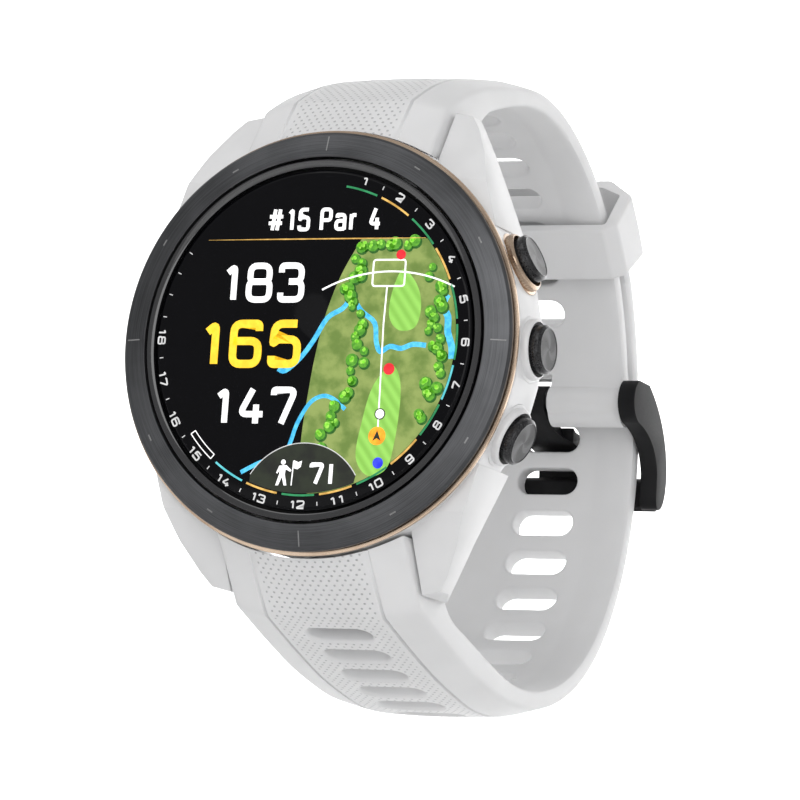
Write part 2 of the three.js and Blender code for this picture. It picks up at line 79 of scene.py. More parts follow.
# Band
HALF = 10.0
RAIL = 0.9
BAND_TOP = 2.07
BAND_HALF = 6.3
CUP = 0.35
SWELL = 1.0  # how much thicker a strap is where it leaves its lugs
SHORT_SWELL = (4.0, 20.0)  # the swelling is flat up to the first distance and gone at the second
LONG_SWELL = (12.0, 32.0)
SLOT_HALF = 3.5
SLOT_R = 1.45
CELL_HALF = 4.3
SHORT_PATH = ((-4.0, 22.5), 30.3, ((20.1, -18.6), (10.2, -26.1), (32.9, -60.9), (4.7, -13.85)))
LONG_PATH = (
    (-2.5, -23.55),
    -20.0,
    ((21.6, 5.75), (17.3, 34.4), (16.35, 38.75), (20.2, 38.35), (12.35, 15.3), (12.45, 21.05)),
)
SHORT_SLOTS = (9.5, 4.77, 11)
LONG_SLOTS = (4.0, 4.74, 19)
PIN_Y = -0.4
PIN_Z = 22.5
NECK_HALF = 1.35  # half the width of the tongue's neck
NOTCH_HALF = 1.75
TONGUE_HALF = 2.85
BAR = (47.1, 3.5)
HOLE_R = 1.05  # round a lug pin or the buckle's bar, with its play
ARM_INNER, ARM_OUTER = 10.4, 12.3  # the buckle's arms
NOTCH_BOX = (40, 52, -1, 6.4)  # where the notch for the tongue cuts the short strap: y, y, z, z
HUB_R = 1.75  # the tongue's hub
LOOP_R = 1.75  # the strap's loop round the buckle's bar
KEEPER_AT = 49.2
KEEPER_LENGTH = 6.5

# Patterns
DOT_PITCH = (0.86, 1.16)  # between the straps' small holes, across and along
DOT_CELLS_BEHIND = 40.0  # keeps the lattice's cells above zero everywhere on a strap
OFF_PATTERN = 60.0  # a place across a strap that is far outside its pattern
CELL_COLUMNS = 7  # from a strap's middle to the edge of a slot's cell
TICK_R = 19.6  # the bezel's ticks
POINT_GRID = 94.0  # the display's light points, as a wave number per mm


# ------------------------------------------------------------------ camera and room
def place_camera():
    yaw, elevation, roll = (math.radians(a) for a in (24.107, -8.58, 4.081))
    flat = math.cos(elevation)
    back = Vector((math.sin(yaw) * flat, -math.cos(yaw) * flat, math.sin(elevation)))
    right = Vector((math.cos(yaw), math.sin(yaw), 0.0))
    up = back.cross(right)
    turned_right = right * math.cos(roll) + up * math.sin(roll)
    turned_up = up * math.cos(roll) - right * math.sin(roll)
    camera = bpy.data.objects.new("camera", bpy.data.cameras.new("camera"))
    camera.data.lens = 230.4
    camera.data.sensor_width = 36.0
    camera.data.clip_start = 0.01
    rotation = Matrix((turned_right, turned_up, back)).transposed()
    camera.matrix_world = Matrix.Translation((0.20972, -0.45784, -0.07979)) @ rotation.to_4x4()
    bpy.context.collection.objects.link(camera)
    bpy.context.scene.camera = camera
    bpy.context.scene.view_settings.view_transform = "Standard"


def area_light(name, place, target, size, power):
    data = bpy.data.lights.new(name, "AREA")
    data.shape = "RECTANGLE"
    data.size, data.size_y = size
    data.energy = power
    lamp = bpy.data.objects.new(name, data)
    lamp.location = place
    direction = Vector(target) - Vector(place)
    lamp.rotation_euler = direction.to_track_quat("-Z", "Y").to_euler()
    bpy.context.collection.objects.link(lamp)


def build_room():
    world = bpy.data.worlds.new("room")
    world.use_nodes = True
    background = world.node_tree.nodes["Background"]
    background.inputs["Color"].default_value = (1.0, 1.0, 1.0, 1.0)
    background.inputs["Strength"].default_value = 0.48
    bpy.context.scene.world = world
    floor_z, sweep_r, sweep_start, steps = -160.0, 600.0, 900.0, 24
    angles = [math.pi / 2 * i / steps for i in range(steps + 1)]
    sweep = [(sweep_start + sweep_r * math.sin(a), floor_z + sweep_r * (1 - math.cos(a))) for a in angles]
    profile = [(-1500.0, floor_z)] + sweep + [(1500.0, 1600.0)]
    verts = [(x, y, z) for y, z in profile for x in (-2500.0, 2500.0)]
    faces = [(2 * i, 2 * i + 1, 2 * i + 3, 2 * i + 2) for i in range(len(profile) - 1)]
    floor = mesh_object("floor", verts, faces, MATERIALS["floor"], smooth=60)
    area_light("key", (-0.35, -0.55, 0.8), (0, 0.01, 0), (0.6, 0.6), 1.3)
    area_light("front", (0.3, -0.75, 0.15), (0, 0.02, 0), (0.7, 0.7), 3.0)
    area_light("low", (-0.3, -0.6, -0.12), (0, 0.01, 0), (0.6, 0.25), 0.3)
    area_light("back_left", (-0.7, 0.6, 0.5), (0, 1.6, 0.2), (0.8, 0.8), 17.0)
    area_light("back_right", (0.7, 0.6, 0.5), (0, 1.6, 0.2), (0.8, 0.8), 17.0)


# ------------------------------------------------------------------ meshes
def mesh_object(name, verts, faces, material, smooth=32.0, weld=0.002):
    """A mesh object from points in mm. Points closer than weld become one."""
    mesh = bpy.data.meshes.new(name)
    work = bmesh.new()
    made = [work.verts.new((x * MM, y * MM, z * MM)) for x, y, z in verts]
    for face in faces:
        corners = [made[i] for i in face]
        if len(set(corners)) > 2:
            try:
                work.faces.new(corners)
            except ValueError:
                continue
    bmesh.ops.remove_doubles(work, verts=work.verts, dist=weld * MM)
    bmesh.ops.dissolve_degenerate(work, edges=work.edges, dist=weld * MM * 0.2)
    loose = [v for v in work.verts if not v.link_faces]
    bmesh.ops.delete(work, geom=loose, context="VERTS")
    bmesh.ops.recalc_face_normals(work, faces=work.faces)
    work.to_mesh(mesh)
    work.free()
    return finish_object(name, mesh, material, smooth)


def finish_object(name, mesh, material, smooth=32.0):
    obj = bpy.data.objects.new(name, mesh)
    bpy.context.collection.objects.link(obj)
    mesh.materials.clear()
    mesh.materials.append(material)
    reshade(obj, smooth)
    return obj


def reshade(obj, angle):
    """Smooth faces, with sharp edges where they meet at more than the angle."""
    for polygon in obj.data.polygons:
        polygon.use_smooth = True
    obj.data.set_sharp_from_angle(angle=math.radians(angle))


def corner_curve(start, corner, end, steps):
    """Points on the curve that leaves start towards the corner and arrives at end from it."""
    places = [k / steps for k in range(steps + 1)]
    return [start * (1 - t) ** 2 + corner * 2 * t * (1 - t) + end * t * t for t in places]


def rounded(profile, radius, steps=4):
    """The closed polygon with each corner turned into an arc."""
    points = [np.array(p, float) for p in profile]
    result = []
    count = len(points)
    for i, corner in enumerate(points):
        before = points[i - 1] - corner
        after = points[(i + 1) % count] - corner
        len_before = np.linalg.norm(before)
        len_after = np.linalg.norm(after)
        unit_before = before / len_before
        unit_after = after / len_after
        cosine = float(np.clip(unit_before @ unit_after, -1, 1))
        half = math.acos(cosine) / 2
        if math.pi / 2 - half < 0.05:
            result.append(tuple(corner))
            continue
        cut = min(radius / math.tan(half), 0.45 * len_before, 0.45 * len_after)
        start = corner + unit_before * cut
        end = corner + unit_after * cut
        result += [tuple(point) for point in corner_curve(start, corner, end, steps)]
    return result


def lathe(name, profile, material, segments=144, transform=None, wobble=None):
    """A closed profile of (radius, y) turned about the Y axis. wobble(angle, radius, y) moves its points out."""
    verts = []
    for k in range(segments):
        a = 2 * math.pi * k / segments
        for r, y in profile:
            reach = r + (wobble(a, r, y) if wobble else 0.0)
            verts.append((reach * math.cos(a), y, reach * math.sin(a)))
    count = len(profile)
    faces = []
    for k in range(segments):
        for i in range(count):
            j = (i + 1) % count
            n = (k + 1) % segments
            if profile[i][0] < 1e-6 and profile[j][0] < 1e-6:
                continue
            faces.append((k * count + i, k * count + j, n * count + j, n * count + i))
    if transform:
        verts = [transform(*v) for v in verts]
    return mesh_object(name, verts, faces, material)


def prism(outline, low, high, place):
    """Points and faces of a closed outline pushed from low to high. place(a, b, height) gives x, y, z."""
    count = len(outline)
    verts = [place(a, b, low) for a, b in outline] + [place(a, b, high) for a, b in outline]
    faces = [tuple(range(count)), tuple(range(2 * count - 1, count - 1, -1))]
    faces += [(i, (i + 1) % count, count + (i + 1) % count, count + i) for i in range(count)]
    return verts, faces


def join_lists(parts):
    verts, faces = [], []
    for part_verts, part_faces in parts:
        start = len(verts)
        verts += part_verts
        faces += [tuple(i + start for i in face) for face in part_faces]
    return verts, faces


def bevel(obj, width, segments=3, angle=30.0):
    modifier = obj.modifiers.new("bevel", "BEVEL")
    modifier.width = width * MM
    modifier.segments = segments
    modifier.limit_method = "ANGLE"
    modifier.angle_limit = math.radians(angle)
    modifier.harden_normals = False
    modifier.miter_outer = "MITER_ARC"
    apply_modifiers(obj)


def apply_modifiers(obj):
    depsgraph = bpy.context.evaluated_depsgraph_get()
    mesh = bpy.data.meshes.new_from_object(obj.evaluated_get(depsgraph))
    obj.modifiers.clear()
    obj.data = mesh


def combine(obj, other, operation):
    """Joins other to obj with UNION, or cuts it away with DIFFERENCE, and deletes it."""
    modifier = obj.modifiers.new("combine", "BOOLEAN")
    modifier.operation = operation
    modifier.solver = "EXACT"
    modifier.object = other
    apply_modifiers(obj)
    bpy.data.objects.remove(other)


def cut_away(obj, verts, faces):
    cutter = mesh_object("cutter", verts, faces, obj.data.materials[0])
    leave_plain(cutter)
    combine(obj, cutter, "DIFFERENCE")


def leave_plain(obj):
    """Keeps the strap's pattern of painted holes off a shape that is cut from it or joined to it."""
    layer = obj.data.uv_layers.new(name="strap")
    for corner in layer.data:
        corner.uv = (OFF_PATTERN, 0.0)


def side_plate(outline, x0, x1):
    """An outline in the YZ plane pushed from x0 to x1."""
    return prism(outline, x0, x1, lambda a, b, h: (h, a, b))


def disc_outline(x, z, radius, steps=20):
    angles = [2 * math.pi * k / steps for k in range(steps)]
    return [(x + radius * math.cos(a), z + radius * math.sin(a)) for a in angles]


def rod_mesh(radius, x0, x1, y, z, segments=40):
    return side_plate(disc_outline(y, z, radius, segments), x0, x1)


def box_mesh(x0, x1, y0, y1, z0, z1):
    return side_plate([(y0, z0), (y1, z0), (y1, z1), (y0, z1)], x0, x1)


def ring_faces(rings):
    """The faces between each closed ring of point numbers and the next one."""
    faces = []
    for a, b in zip(rings, rings[1:]):
        for k in range(len(a)):
            n = (k + 1) % len(a)
            faces.append((a[k], a[n], b[n], b[k]))
    return faces


# ------------------------------------------------------------------ materials
class Nodes:
    """Short names for building a node material."""

    def __init__(self, name):
        self.material = bpy.data.materials.new(name)
        self.material.use_nodes = True
        self.tree = self.material.node_tree
        self.shader = self.tree.nodes["Principled BSDF"]

    def node(self, kind, **inputs):
        made = self.tree.nodes.new(kind)
        for key, value in inputs.items():
            socket = made.inputs[key.replace("_", " ")] if isinstance(key, str) else made.inputs[key]
            self.feed(socket, value)
        return made

    def feed(self, socket, value):
        if isinstance(value, bpy.types.NodeSocket):
            self.tree.links.new(value, socket)
        else:
            socket.default_value = value

    def set(self, **values):
        for key, value in values.items():
            self.feed(self.shader.inputs[key.replace("_", " ")], value)

    def math(self, operation, *values):
        made = self.tree.nodes.new("ShaderNodeMath")
        made.operation = operation
        for socket, value in zip(made.inputs, values):
            self.feed(socket, value)
        return made.outputs[0]

    def plus(self, a, b):
        return self.math("ADD", a, b)

    def minus(self, a, b):
        return self.math("SUBTRACT", a, b)

    def times(self, a, b):
        return self.math("MULTIPLY", a, b)

    def place(self):
        """The point on the object, in mm."""
        coords = self.tree.nodes.new("ShaderNodeTexCoord")
        scaled = self.tree.nodes.new("ShaderNodeVectorMath")
        scaled.operation = "SCALE"
        self.feed(scaled.inputs[0], coords.outputs["Object"])
        scaled.inputs["Scale"].default_value = 1000.0
        return scaled.outputs[0]

    def split(self, vector):
        made = self.tree.nodes.new("ShaderNodeSeparateXYZ")
        self.feed(made.inputs[0], vector)
        return made.outputs

    def uv(self, name):
        """The two numbers of a UV map."""
        made = self.tree.nodes.new("ShaderNodeUVMap")
        made.uv_map = name
        u, v, _ = self.split(made.outputs[0])
        return u, v

    def length(self, a, b):
        return self.math("SQRT", self.plus(self.times(a, a), self.times(b, b)))

    def merge(self, x, y, z):
        made = self.tree.nodes.new("ShaderNodeCombineXYZ")
        for socket, value in zip(made.inputs, (x, y, z)):
            self.feed(socket, value)
        return made.outputs[0]

    def noise(self, vector, scale, detail=3.0, roughness=0.5):
        made = self.node("ShaderNodeTexNoise", Vector=vector, Scale=scale, Detail=detail, Roughness=roughness)
        return made.outputs["Fac"]

    def ramp(self, value, low, high):
        """Spreads a 0 to 1 value between two numbers."""
        made = self.node("ShaderNodeMapRange", Value=value)
        made.inputs["To Min"].default_value = low
        made.inputs["To Max"].default_value = high
        return made.outputs[0]

    def window(self, value, start, end):
        """0 below start, 1 above end, smooth between them."""
        made = self.node("ShaderNodeMapRange", Value=value)
        made.interpolation_type = "SMOOTHSTEP"
        made.inputs["From Min"].default_value = start
        made.inputs["From Max"].default_value = end
        return made.outputs[0]

    def colors(self, value, first, second):
        made = self.tree.nodes.new("ShaderNodeMix")
        made.data_type = "RGBA"
        self.feed(made.inputs["Factor"], value)
        self.feed(made.inputs["A"], first if isinstance(first, bpy.types.NodeSocket) else (*first, 1.0))
        self.feed(made.inputs["B"], second if isinstance(second, bpy.types.NodeSocket) else (*second, 1.0))
        return made.outputs["Result"]

    def bump(self, height, strength, distance=0.1):
        made = self.node("ShaderNodeBump", Height=height, Strength=strength)
        made.inputs["Distance"].default_value = distance * MM
        self.set(Normal=made.outputs[0])


def silicone(name, dots=False):
    n = Nodes(name)
    place = n.place()
    cloud = n.noise(place, 0.12, 2.0)
    grain = n.noise(place, 9.0, 4.0)
    base = n.colors(n.window(cloud, 0.3, 0.7), (0.735, 0.735, 0.74), (0.775, 0.775, 0.78))
    height = grain
    if dots:
        across, along = n.uv("strap")
        holes = [hole_distance(n, across, along, shift) for shift in (0.0, 0.5)]
        distance = n.math("MINIMUM", *holes)
        hole = n.minus(1.0, n.window(distance, 0.08, 0.17))
        inside = n.minus(1.0, n.window(n.math("ABSOLUTE", across), 5.55, 5.75))
        hole = n.times(hole, inside)
        # The small holes are not cut in the mesh: each is painted shade, a darker grey mixed into the colour, with a
        # dent in the bump.
        base = n.colors(hole, base, (0.46, 0.46, 0.47))
        height = n.minus(n.times(grain, 0.12), hole)
    n.set(
        Base_Color=base,
        Roughness=n.ramp(grain, 0.42, 0.6),
        Subsurface_Weight=0.12,
        Subsurface_Radius=(0.0012, 0.0011, 0.001),
        Sheen_Weight=0.15,
        Sheen_Roughness=0.5,
    )
    n.bump(height, 0.5 if dots else 0.12, 0.12 if dots else 0.03)
    return n.material


def hole_distance(n, across, along, shift):
    """The distance in mm from the nearest hole of one of the two lattices."""
    away = []
    for value, pitch in zip((across, along), DOT_PITCH):
        cell = n.math("FRACT", n.plus(n.math("DIVIDE", value, pitch), shift + DOT_CELLS_BEHIND))
        away.append(n.times(n.minus(cell, 0.5), pitch))
    return n.length(*away)


def moulded(name, dark, light, rough=(0.35, 0.5), grain_scale=7.0, bump=0.08, coat=0.0, specular=0.5):
    n = Nodes(name)
    place = n.place()
    grain = n.noise(place, grain_scale, 4.0)
    cloud = n.noise(place, 0.2, 2.0)
    n.set(
        Base_Color=n.colors(n.window(cloud, 0.3, 0.7), dark, light),
        Roughness=n.ramp(grain, *rough),
        Specular_IOR_Level=specular,
        Coat_Weight=coat,
        Coat_Roughness=0.15,
    )
    n.bump(grain, bump, 0.03)
    return n.material


def brushed_round(name, dark, light, metallic=0.85, rough=(0.28, 0.42)):
    """Brushed round the watch's axis, with fine scratches."""
    n = Nodes(name)
    place = n.place()
    x, y, z = n.split(place)
    radius = n.length(x, z)
    angle = n.math("ARCTAN2", z, x)
    along = n.merge(n.times(angle, 2.2), n.times(radius, 16.0), n.times(y, 16.0))
    scratch = n.noise(along, 1.0, 5.0, 0.65)
    cloud = n.noise(place, 0.16, 3.0)
    shade = n.plus(n.times(scratch, 0.6), n.times(cloud, 0.4))
    n.set(
        Base_Color=n.colors(n.window(shade, 0.32, 0.68), dark, light),
        Metallic=metallic,
        Roughness=n.ramp(scratch, *rough),
        Anisotropic=0.55,
        Anisotropic_Rotation=0.0,
    )
    n.bump(scratch, 0.18, 0.02)
    return n.material


def brushed(name, dark, light, stretch=(1.0, 20.0, 20.0), metallic=1.0, rough=(0.22, 0.38)):
    n = Nodes(name)
    x, y, z = n.split(n.place())
    along = n.merge(*(n.times(axis, s) for axis, s in zip((x, y, z), stretch)))
    scratch = n.noise(along, 1.0, 4.0, 0.6)
    n.set(
        Base_Color=n.colors(n.window(scratch, 0.3, 0.7), dark, light),
        Metallic=metallic,
        Roughness=n.ramp(scratch, *rough),
    )
    n.bump(scratch, 0.12, 0.02)
    return n.material


def swirled(name):
    """A button's black face, brushed in a swirl about its own axis."""
    n = Nodes(name)
    u, v = n.uv("face")
    radius = n.length(u, v)
    angle = n.math("ARCTAN2", v, u)
    twisted = n.plus(angle, n.times(radius, 0.55))
    wave = n.math("SINE", n.times(twisted, 3.0))
    fine = n.noise(n.merge(n.times(twisted, 9.0), n.times(radius, 0.6), 0.0), 1.0, 4.0)
    shade = n.plus(n.times(wave, 0.25), n.times(fine, 0.75))
    n.set(
        Base_Color=n.colors(n.window(shade, 0.2, 0.75), (0.008, 0.008, 0.009), (0.06, 0.06, 0.063)),
        Metallic=0.75,
        Roughness=n.ramp(fine, 0.2, 0.4),
        Anisotropic=0.6,
    )
    n.bump(fine, 0.2, 0.02)
    return n.material


def polished(name, color, rough=0.06, coat=1.0, specular=0.5):
    n = Nodes(name)
    place = n.place()
    smudge = n.noise(place, 0.35, 3.0)
    n.set(
        Base_Color=n.colors(smudge, tuple(c * 0.8 for c in color), color),
        Roughness=n.ramp(smudge, rough * 0.7, rough * 1.6),
        Specular_IOR_Level=specular,
        Coat_Weight=coat,
        Coat_Roughness=0.03,
    )
    return n.material


def lit(name, dark, light, scale=1.2, strength=0.9, pattern=None):
    """A colour that the display shows, with the fine grid of its light points."""
    n = Nodes(name)
    place = n.place()
    x, _, z = n.split(place)
    cloud = n.noise(place, scale, 4.0)
    value = n.window(cloud, 0.35, 0.65)
    if pattern == "stripes":
        slant = n.plus(x, n.times(z, 0.75))
        stripe = n.math("SINE", n.times(slant, 5.2))
        value = n.plus(n.times(stripe, 0.35), 0.5)
    base = n.colors(value, dark, light)
    waves = [n.math("SINE", n.times(axis, POINT_GRID)) for axis in (x, z)]
    grid = n.times(*waves)
    dimmed = n.colors(n.times(n.plus(grid, 1.0), 0.08), base, (0.0, 0.0, 0.0))
    n.set(
        Base_Color=dimmed,
        Roughness=0.3,
        Emission_Color=dimmed,
        Emission_Strength=strength,
        Coat_Weight=0.1,
        Coat_Roughness=0.06,
    )
    return n.material


def make_materials():
    return {
        "floor": moulded("floor", (0.8, 0.8, 0.8), (0.83, 0.83, 0.83), (0.7, 0.85), 0.05, 0.02),
        "silicone": silicone("silicone"),
        "strap": silicone("strap_silicone", dots=True),
        "case": moulded("case_polymer", (0.72, 0.72, 0.725), (0.755, 0.755, 0.76), (0.3, 0.42), 8.0, 0.06, 0.1),
        "bezel": brushed_round("bezel_ceramic", (0.052, 0.053, 0.056), (0.112, 0.114, 0.12)),
        "tick": lit("bezel_tick", (0.2, 0.2, 0.2), (0.26, 0.26, 0.26), strength=0.0),
        "gloss": polished("gloss_black", (0.012, 0.012, 0.014)),
        "glass": polished("lens_glass", (0.003, 0.003, 0.004), 0.05, 0.0, 0.12),
        "rose": brushed_round("rose_trim", (0.38, 0.27, 0.19), (0.78, 0.62, 0.48), 1.0, (0.15, 0.3)),
        "button": brushed("button_side", (0.015, 0.015, 0.016), (0.06, 0.06, 0.063), (6, 6, 6), 0.6, (0.15, 0.3)),
        "button_face": swirled("button_face"),
        "buckle": moulded(
            "buckle_black", (0.01, 0.01, 0.011), (0.017, 0.017, 0.018), (0.4, 0.55), 6.0, 0.05, specular=0.12
        ),
        "black": moulded("inner_black", (0.02, 0.02, 0.021), (0.032, 0.032, 0.034), (0.45, 0.6)),
        "cover": moulded("back_cover", (0.03, 0.03, 0.032), (0.045, 0.045, 0.047), (0.4, 0.55), 12.0, 0.12),
        "seal": moulded("seal_rubber", (0.01, 0.01, 0.01), (0.02, 0.02, 0.02), (0.7, 0.85)),
        "steel": brushed("steel", (0.5, 0.5, 0.52), (0.66, 0.66, 0.68)),
        "gold": brushed("gold_contact", (0.65, 0.43, 0.12), (0.85, 0.63, 0.25), (14, 3, 14)),
        "board": moulded("circuit_board", (0.01, 0.06, 0.03), (0.015, 0.1, 0.05), (0.3, 0.5), 2.0, 0.2),
        "foil": brushed("foil", (0.4, 0.4, 0.42), (0.55, 0.55, 0.57), (3, 3, 20)),
    }


MATERIALS = make_materials()

# The record's slots and the material that each one shows
SLOT_LOOKS = {
    "silicone": "silicone",
    "case_polymer": "case",
    "bezel_ceramic": "bezel",
    "gloss_black": "gloss",
    "rose_trim": "rose",
    "lens_glass": "glass",
    "display": "gloss",
    "inner_plastic": "black",
    "buckle_black": "buckle",
    "button_black": "button",
    "seal_rubber": "seal",
    "gold_contact": "gold",
    "circuit_board": "board",
    "foil": "foil",
    "steel": "steel",
}


def paint_frame():
    slots = {part["node"]: part["material_slot"] for part in frame["record"]["subparts"]}
    for name, obj in frame["nodes"].items():
        look = "cover" if name == "back_cover" else SLOT_LOOKS[slots[name]]
        obj.data.materials.clear()
        obj.data.materials.append(MATERIALS[look])


# ------------------------------------------------------------------ strap paths
class Path:
    """A chain of tangent arcs in the YZ plane. side is +1 where its left side faces outwards."""

    def __init__(self, start, heading, arcs, side):
        self.start = start
        self.heading = math.radians(heading)
        self.arcs = [(length, math.radians(turn)) for length, turn in arcs]
        self.total = sum(length for length, _ in arcs)
        self.side = side

    def at(self, distance):
        """The point, and the unit vectors along the path and outwards."""
        y, z = self.start
        heading = self.heading
        left = distance
        for i, (length, turn) in enumerate(self.arcs):
            run = left if i == len(self.arcs) - 1 else min(left, length)
            radius = length / turn
            following = heading + run / radius
            y += radius * (math.sin(following) - math.sin(heading))
            z -= radius * (math.cos(following) - math.cos(heading))
            heading = following
            left -= run
            if left <= 0:
                break
        along = np.array((math.cos(heading), math.sin(heading)))
        outwards = np.array((-math.sin(heading), math.cos(heading))) * self.side
        return np.array((y, z)), along, outwards


SHORT = Path(*SHORT_PATH, 1)
LONG = Path(*LONG_PATH, -1)


def smoothstep(value, start, end):
    t = min(max((value - start) / (end - start), 0.0), 1.0)
    return t * t * (3 - 2 * t)


class Strap:
    """A strap's surfaces, as functions of the distance s along it and the distance u across it."""

    END_RUN = 11.0  # where the thick end by the lug blends into the strap

    def __init__(self, path, slots, swell, tail_taper, end_bulge):
        self.path = path
        self.slots = slots
        self.swell = swell
        self.tail_taper = tail_taper
        self.end_bulge = end_bulge
        sign = path.side
        self.block = [np.array((y, z * sign)) for y, z in ((2.0, 22.2), (3.0, 24.1), (4.4, 25.5))]

    def band_edge(self, s):
        return BAND_HALF - 1.3 * smoothstep(s, 12.0, 55.0)

    def half_width(self, s):
        if not self.tail_taper:
            return HALF
        t = max(0.0, (s - (self.path.total - self.tail_taper)) / self.tail_taper)
        return CELL_HALF + (HALF - CELL_HALF) * math.sqrt(max(0.0, 1 - t * t)) - 0.9 * t ** 4

    def columns(self, s):
        """The places across the strap, from its middle to its edge."""
        edge = self.band_edge(s)
        half = self.half_width(s)
        scale = (half - CELL_HALF) / (HALF - CELL_HALF)
        marks = [CELL_HALF * k / CELL_COLUMNS for k in range(CELL_COLUMNS + 1)]
        marks += [CELL_HALF + (edge - CELL_HALF) * t for t in (0.5, 0.93, 1.0)]
        marks += [edge + 0.11, edge + 0.24]
        rest = HALF - marks[-1]
        marks += [marks[-1] + rest * t for t in (0.12, 0.35, 0.6, 0.8, 0.91, 0.97, 1.0)]
        return [m if m <= CELL_HALF else CELL_HALF + (m - CELL_HALF) * scale for m in marks]

    def outer_height(self, u, s):
        edge = self.band_edge(s)
        a = abs(u)
        swell = SWELL * (1 - smoothstep(s, *self.swell))
        crown = BAND_TOP + swell - 0.16 * (a / edge) ** 2
        if a <= edge - 0.02:
            return crown
        if a <= edge + 0.20:
            return crown - 0.42
        t = (a - edge - 0.24) / (HALF - edge - 0.24)
        rail = (BAND_TOP - 0.2) + (RAIL - BAND_TOP + 0.2) * t ** 1.15 + swell
        corner = max(0.0, a - (self.half_width(s) - 0.45)) / 0.45
        return rail - 0.4 * (1 - math.sqrt(max(0.0, 1 - min(corner, 1.0) ** 2)))

    def inner_rise(self, u, s):
        """How far the inner face stands back from the rails' inner plane."""
        a = abs(u)
        cup = CUP * (1 - smoothstep(a, 5.6, 7.6)) * smoothstep(s, 7.0, self.END_RUN + 2.0)
        corner = max(0.0, a - (self.half_width(s) - 0.45)) / 0.45
        return cup + 0.4 * (1 - math.sqrt(max(0.0, 1 - min(corner, 1.0) ** 2)))

    def thin(self, s):
        """Rounds off the tail's tip."""
        t = max(0.0, s - (self.path.total - 1.0))
        return math.sqrt(max(0.04, 1 - t * t))

    def bar_loop(self, s, height, sign):
        """Swells the strap into the round loop that holds the buckle's bar."""
        total = self.path.total
        blend = smoothstep(s, total - 4.9, total)
        past = min(max(s - total, 0.0) / LOOP_R, 1.0)
        return height * (1 - blend) + sign * LOOP_R * math.sqrt(1 - past * past) * blend

    def outer(self, s, u, depth=0.0):
        if s < 0:
            return self.end_outer(s, u)
        point, _, outwards = self.path.at(s)
        height = self.outer_height(u, s)
        if self.end_bulge:
            height = self.bar_loop(s, height, 1)
        else:
            height *= self.thin(s)
        place = point + outwards * (height - depth)
        return (u, place[0], place[1])

    def inner(self, s, u, depth=0.0):
        if s < 0:
            return self.end_inner(s, u)
        point, _, outwards = self.path.at(s)
        low = -RAIL + self.inner_rise(u, s)
        if self.end_bulge:
            low = self.bar_loop(s, low, -1)
        else:
            low *= self.thin(s)
        place = point + outwards * (low + depth)
        if s < self.END_RUN:
            t = s / self.END_RUN
            a, b, c = self.block
            join = self.path.at(self.END_RUN)
            d = join[0] - join[2] * RAIL
            curve = (1 - t) ** 3 * a + 3 * t * (1 - t) ** 2 * b + 3 * t * t * (1 - t) * c + t ** 3 * d
            rise = self.inner_rise(u, s) + depth
            normal = outwards * t + np.array((-1.0, 0.0)) * (1 - t)
            place = curve + normal * rise
        return (u, place[0], place[1])

    # The end by the lug runs from s = 0 to s = -1, where it meets the seat cylinder.
    def seat_z(self, u):
        return self.path.side * math.sqrt(SEAT_R ** 2 - u * u)

    def end_outer(self, s, u):
        _, y, z = self.outer(0.0, u)
        t = -s
        drop = self.outer_height(0.0, 0.0) - self.outer_height(u, 0.0)
        y_end = SEAT_TOP + 0.3 * drop
        return (u, y + (y_end - y) * t, z + (self.seat_z(u) - z) * t)

    def end_inner(self, s, u):
        _, y, z = self.inner(0.0, u)
        t = -s
        return (u, y - 0.9 * t, z + (self.seat_z(u) - z) * t)


def strap_mesh(strap, name):
    first, pitch, count = strap.slots
    per_cell = 6
    rows = [-1.0, -0.85, -0.65, -0.45, -0.25, -0.1]
    start = first - pitch / 2
    lead = max(2, round(start / 0.8))
    rows += [start * k / lead for k in range(lead)]
    cell_rows = {}
    for i in range(count):
        cell_rows[len(rows)] = first + i * pitch
        rows += [start + i * pitch + pitch * k / per_cell for k in range(per_cell)]
    after = start + count * pitch
    tail = strap.path.total - after
    steps = max(4, round(tail / 0.5))
    rows += [after + tail * k / steps for k in range(steps)]
    total = strap.path.total
    if strap.end_bulge:
        finish = [total + LOOP_R * math.sin(math.pi / 2 * k / 9) for k in range(10)]
    else:
        finish = [total - 0.25, total - 0.1, total]
    rows = [r for r in rows if r < total - 0.3] + finish
    verts, faces, marks = [], [], []

    def add(point, uv):
        verts.append(point)
        marks.append(uv)
        return len(verts) - 1

    def wall(i, j, next_i, next_j):
        corners = (("outer", i, j), ("outer", next_i, next_j), ("inner", next_i, next_j), ("inner", i, j))
        return tuple(grid[corner] for corner in corners)

    grid = {}
    for i, s in enumerate(rows):
        half = strap.columns(max(s, 0.0))
        across = [-u for u in reversed(half[1:])] + half
        for j, u in enumerate(across):
            place = strap.outer(s, u)
            reach = s if s >= 0 else -math.dist(place, strap.outer(0.0, u))
            grid["outer", i, j] = add(place, (u, reach))
            grid["inner", i, j] = add(strap.inner(s, u), (OFF_PATTERN, reach))
        width = len(across)
    middle = width // 2
    inside = range(middle - CELL_COLUMNS, middle + CELL_COLUMNS)
    cells = {i + k for i in cell_rows for k in range(per_cell)}
    for i in range(len(rows) - 1):
        for j in range(width - 1):
            if i in cells and j in inside:
                continue
            for side in ("outer", "inner"):
                quad = tuple(grid[side, i + di, j + dj] for di, dj in ((0, 0), (0, 1), (1, 1), (1, 0)))
                faces.append(quad if side == "outer" else quad[::-1])
        for j in (0, width - 1):
            faces.append(wall(i, j, i + 1, j))
    for i in (0, len(rows) - 1):
        for j in range(width - 1):
            faces.append(wall(i, j, i, j + 1))
    for centre in cell_rows.values():
        faces += slot_cell(strap, centre, pitch, per_cell, add)
    obj = mesh_object(name, verts, faces, MATERIALS["strap"], smooth=40, weld=0.004)
    add_strap_marks(obj, verts, marks)
    return obj


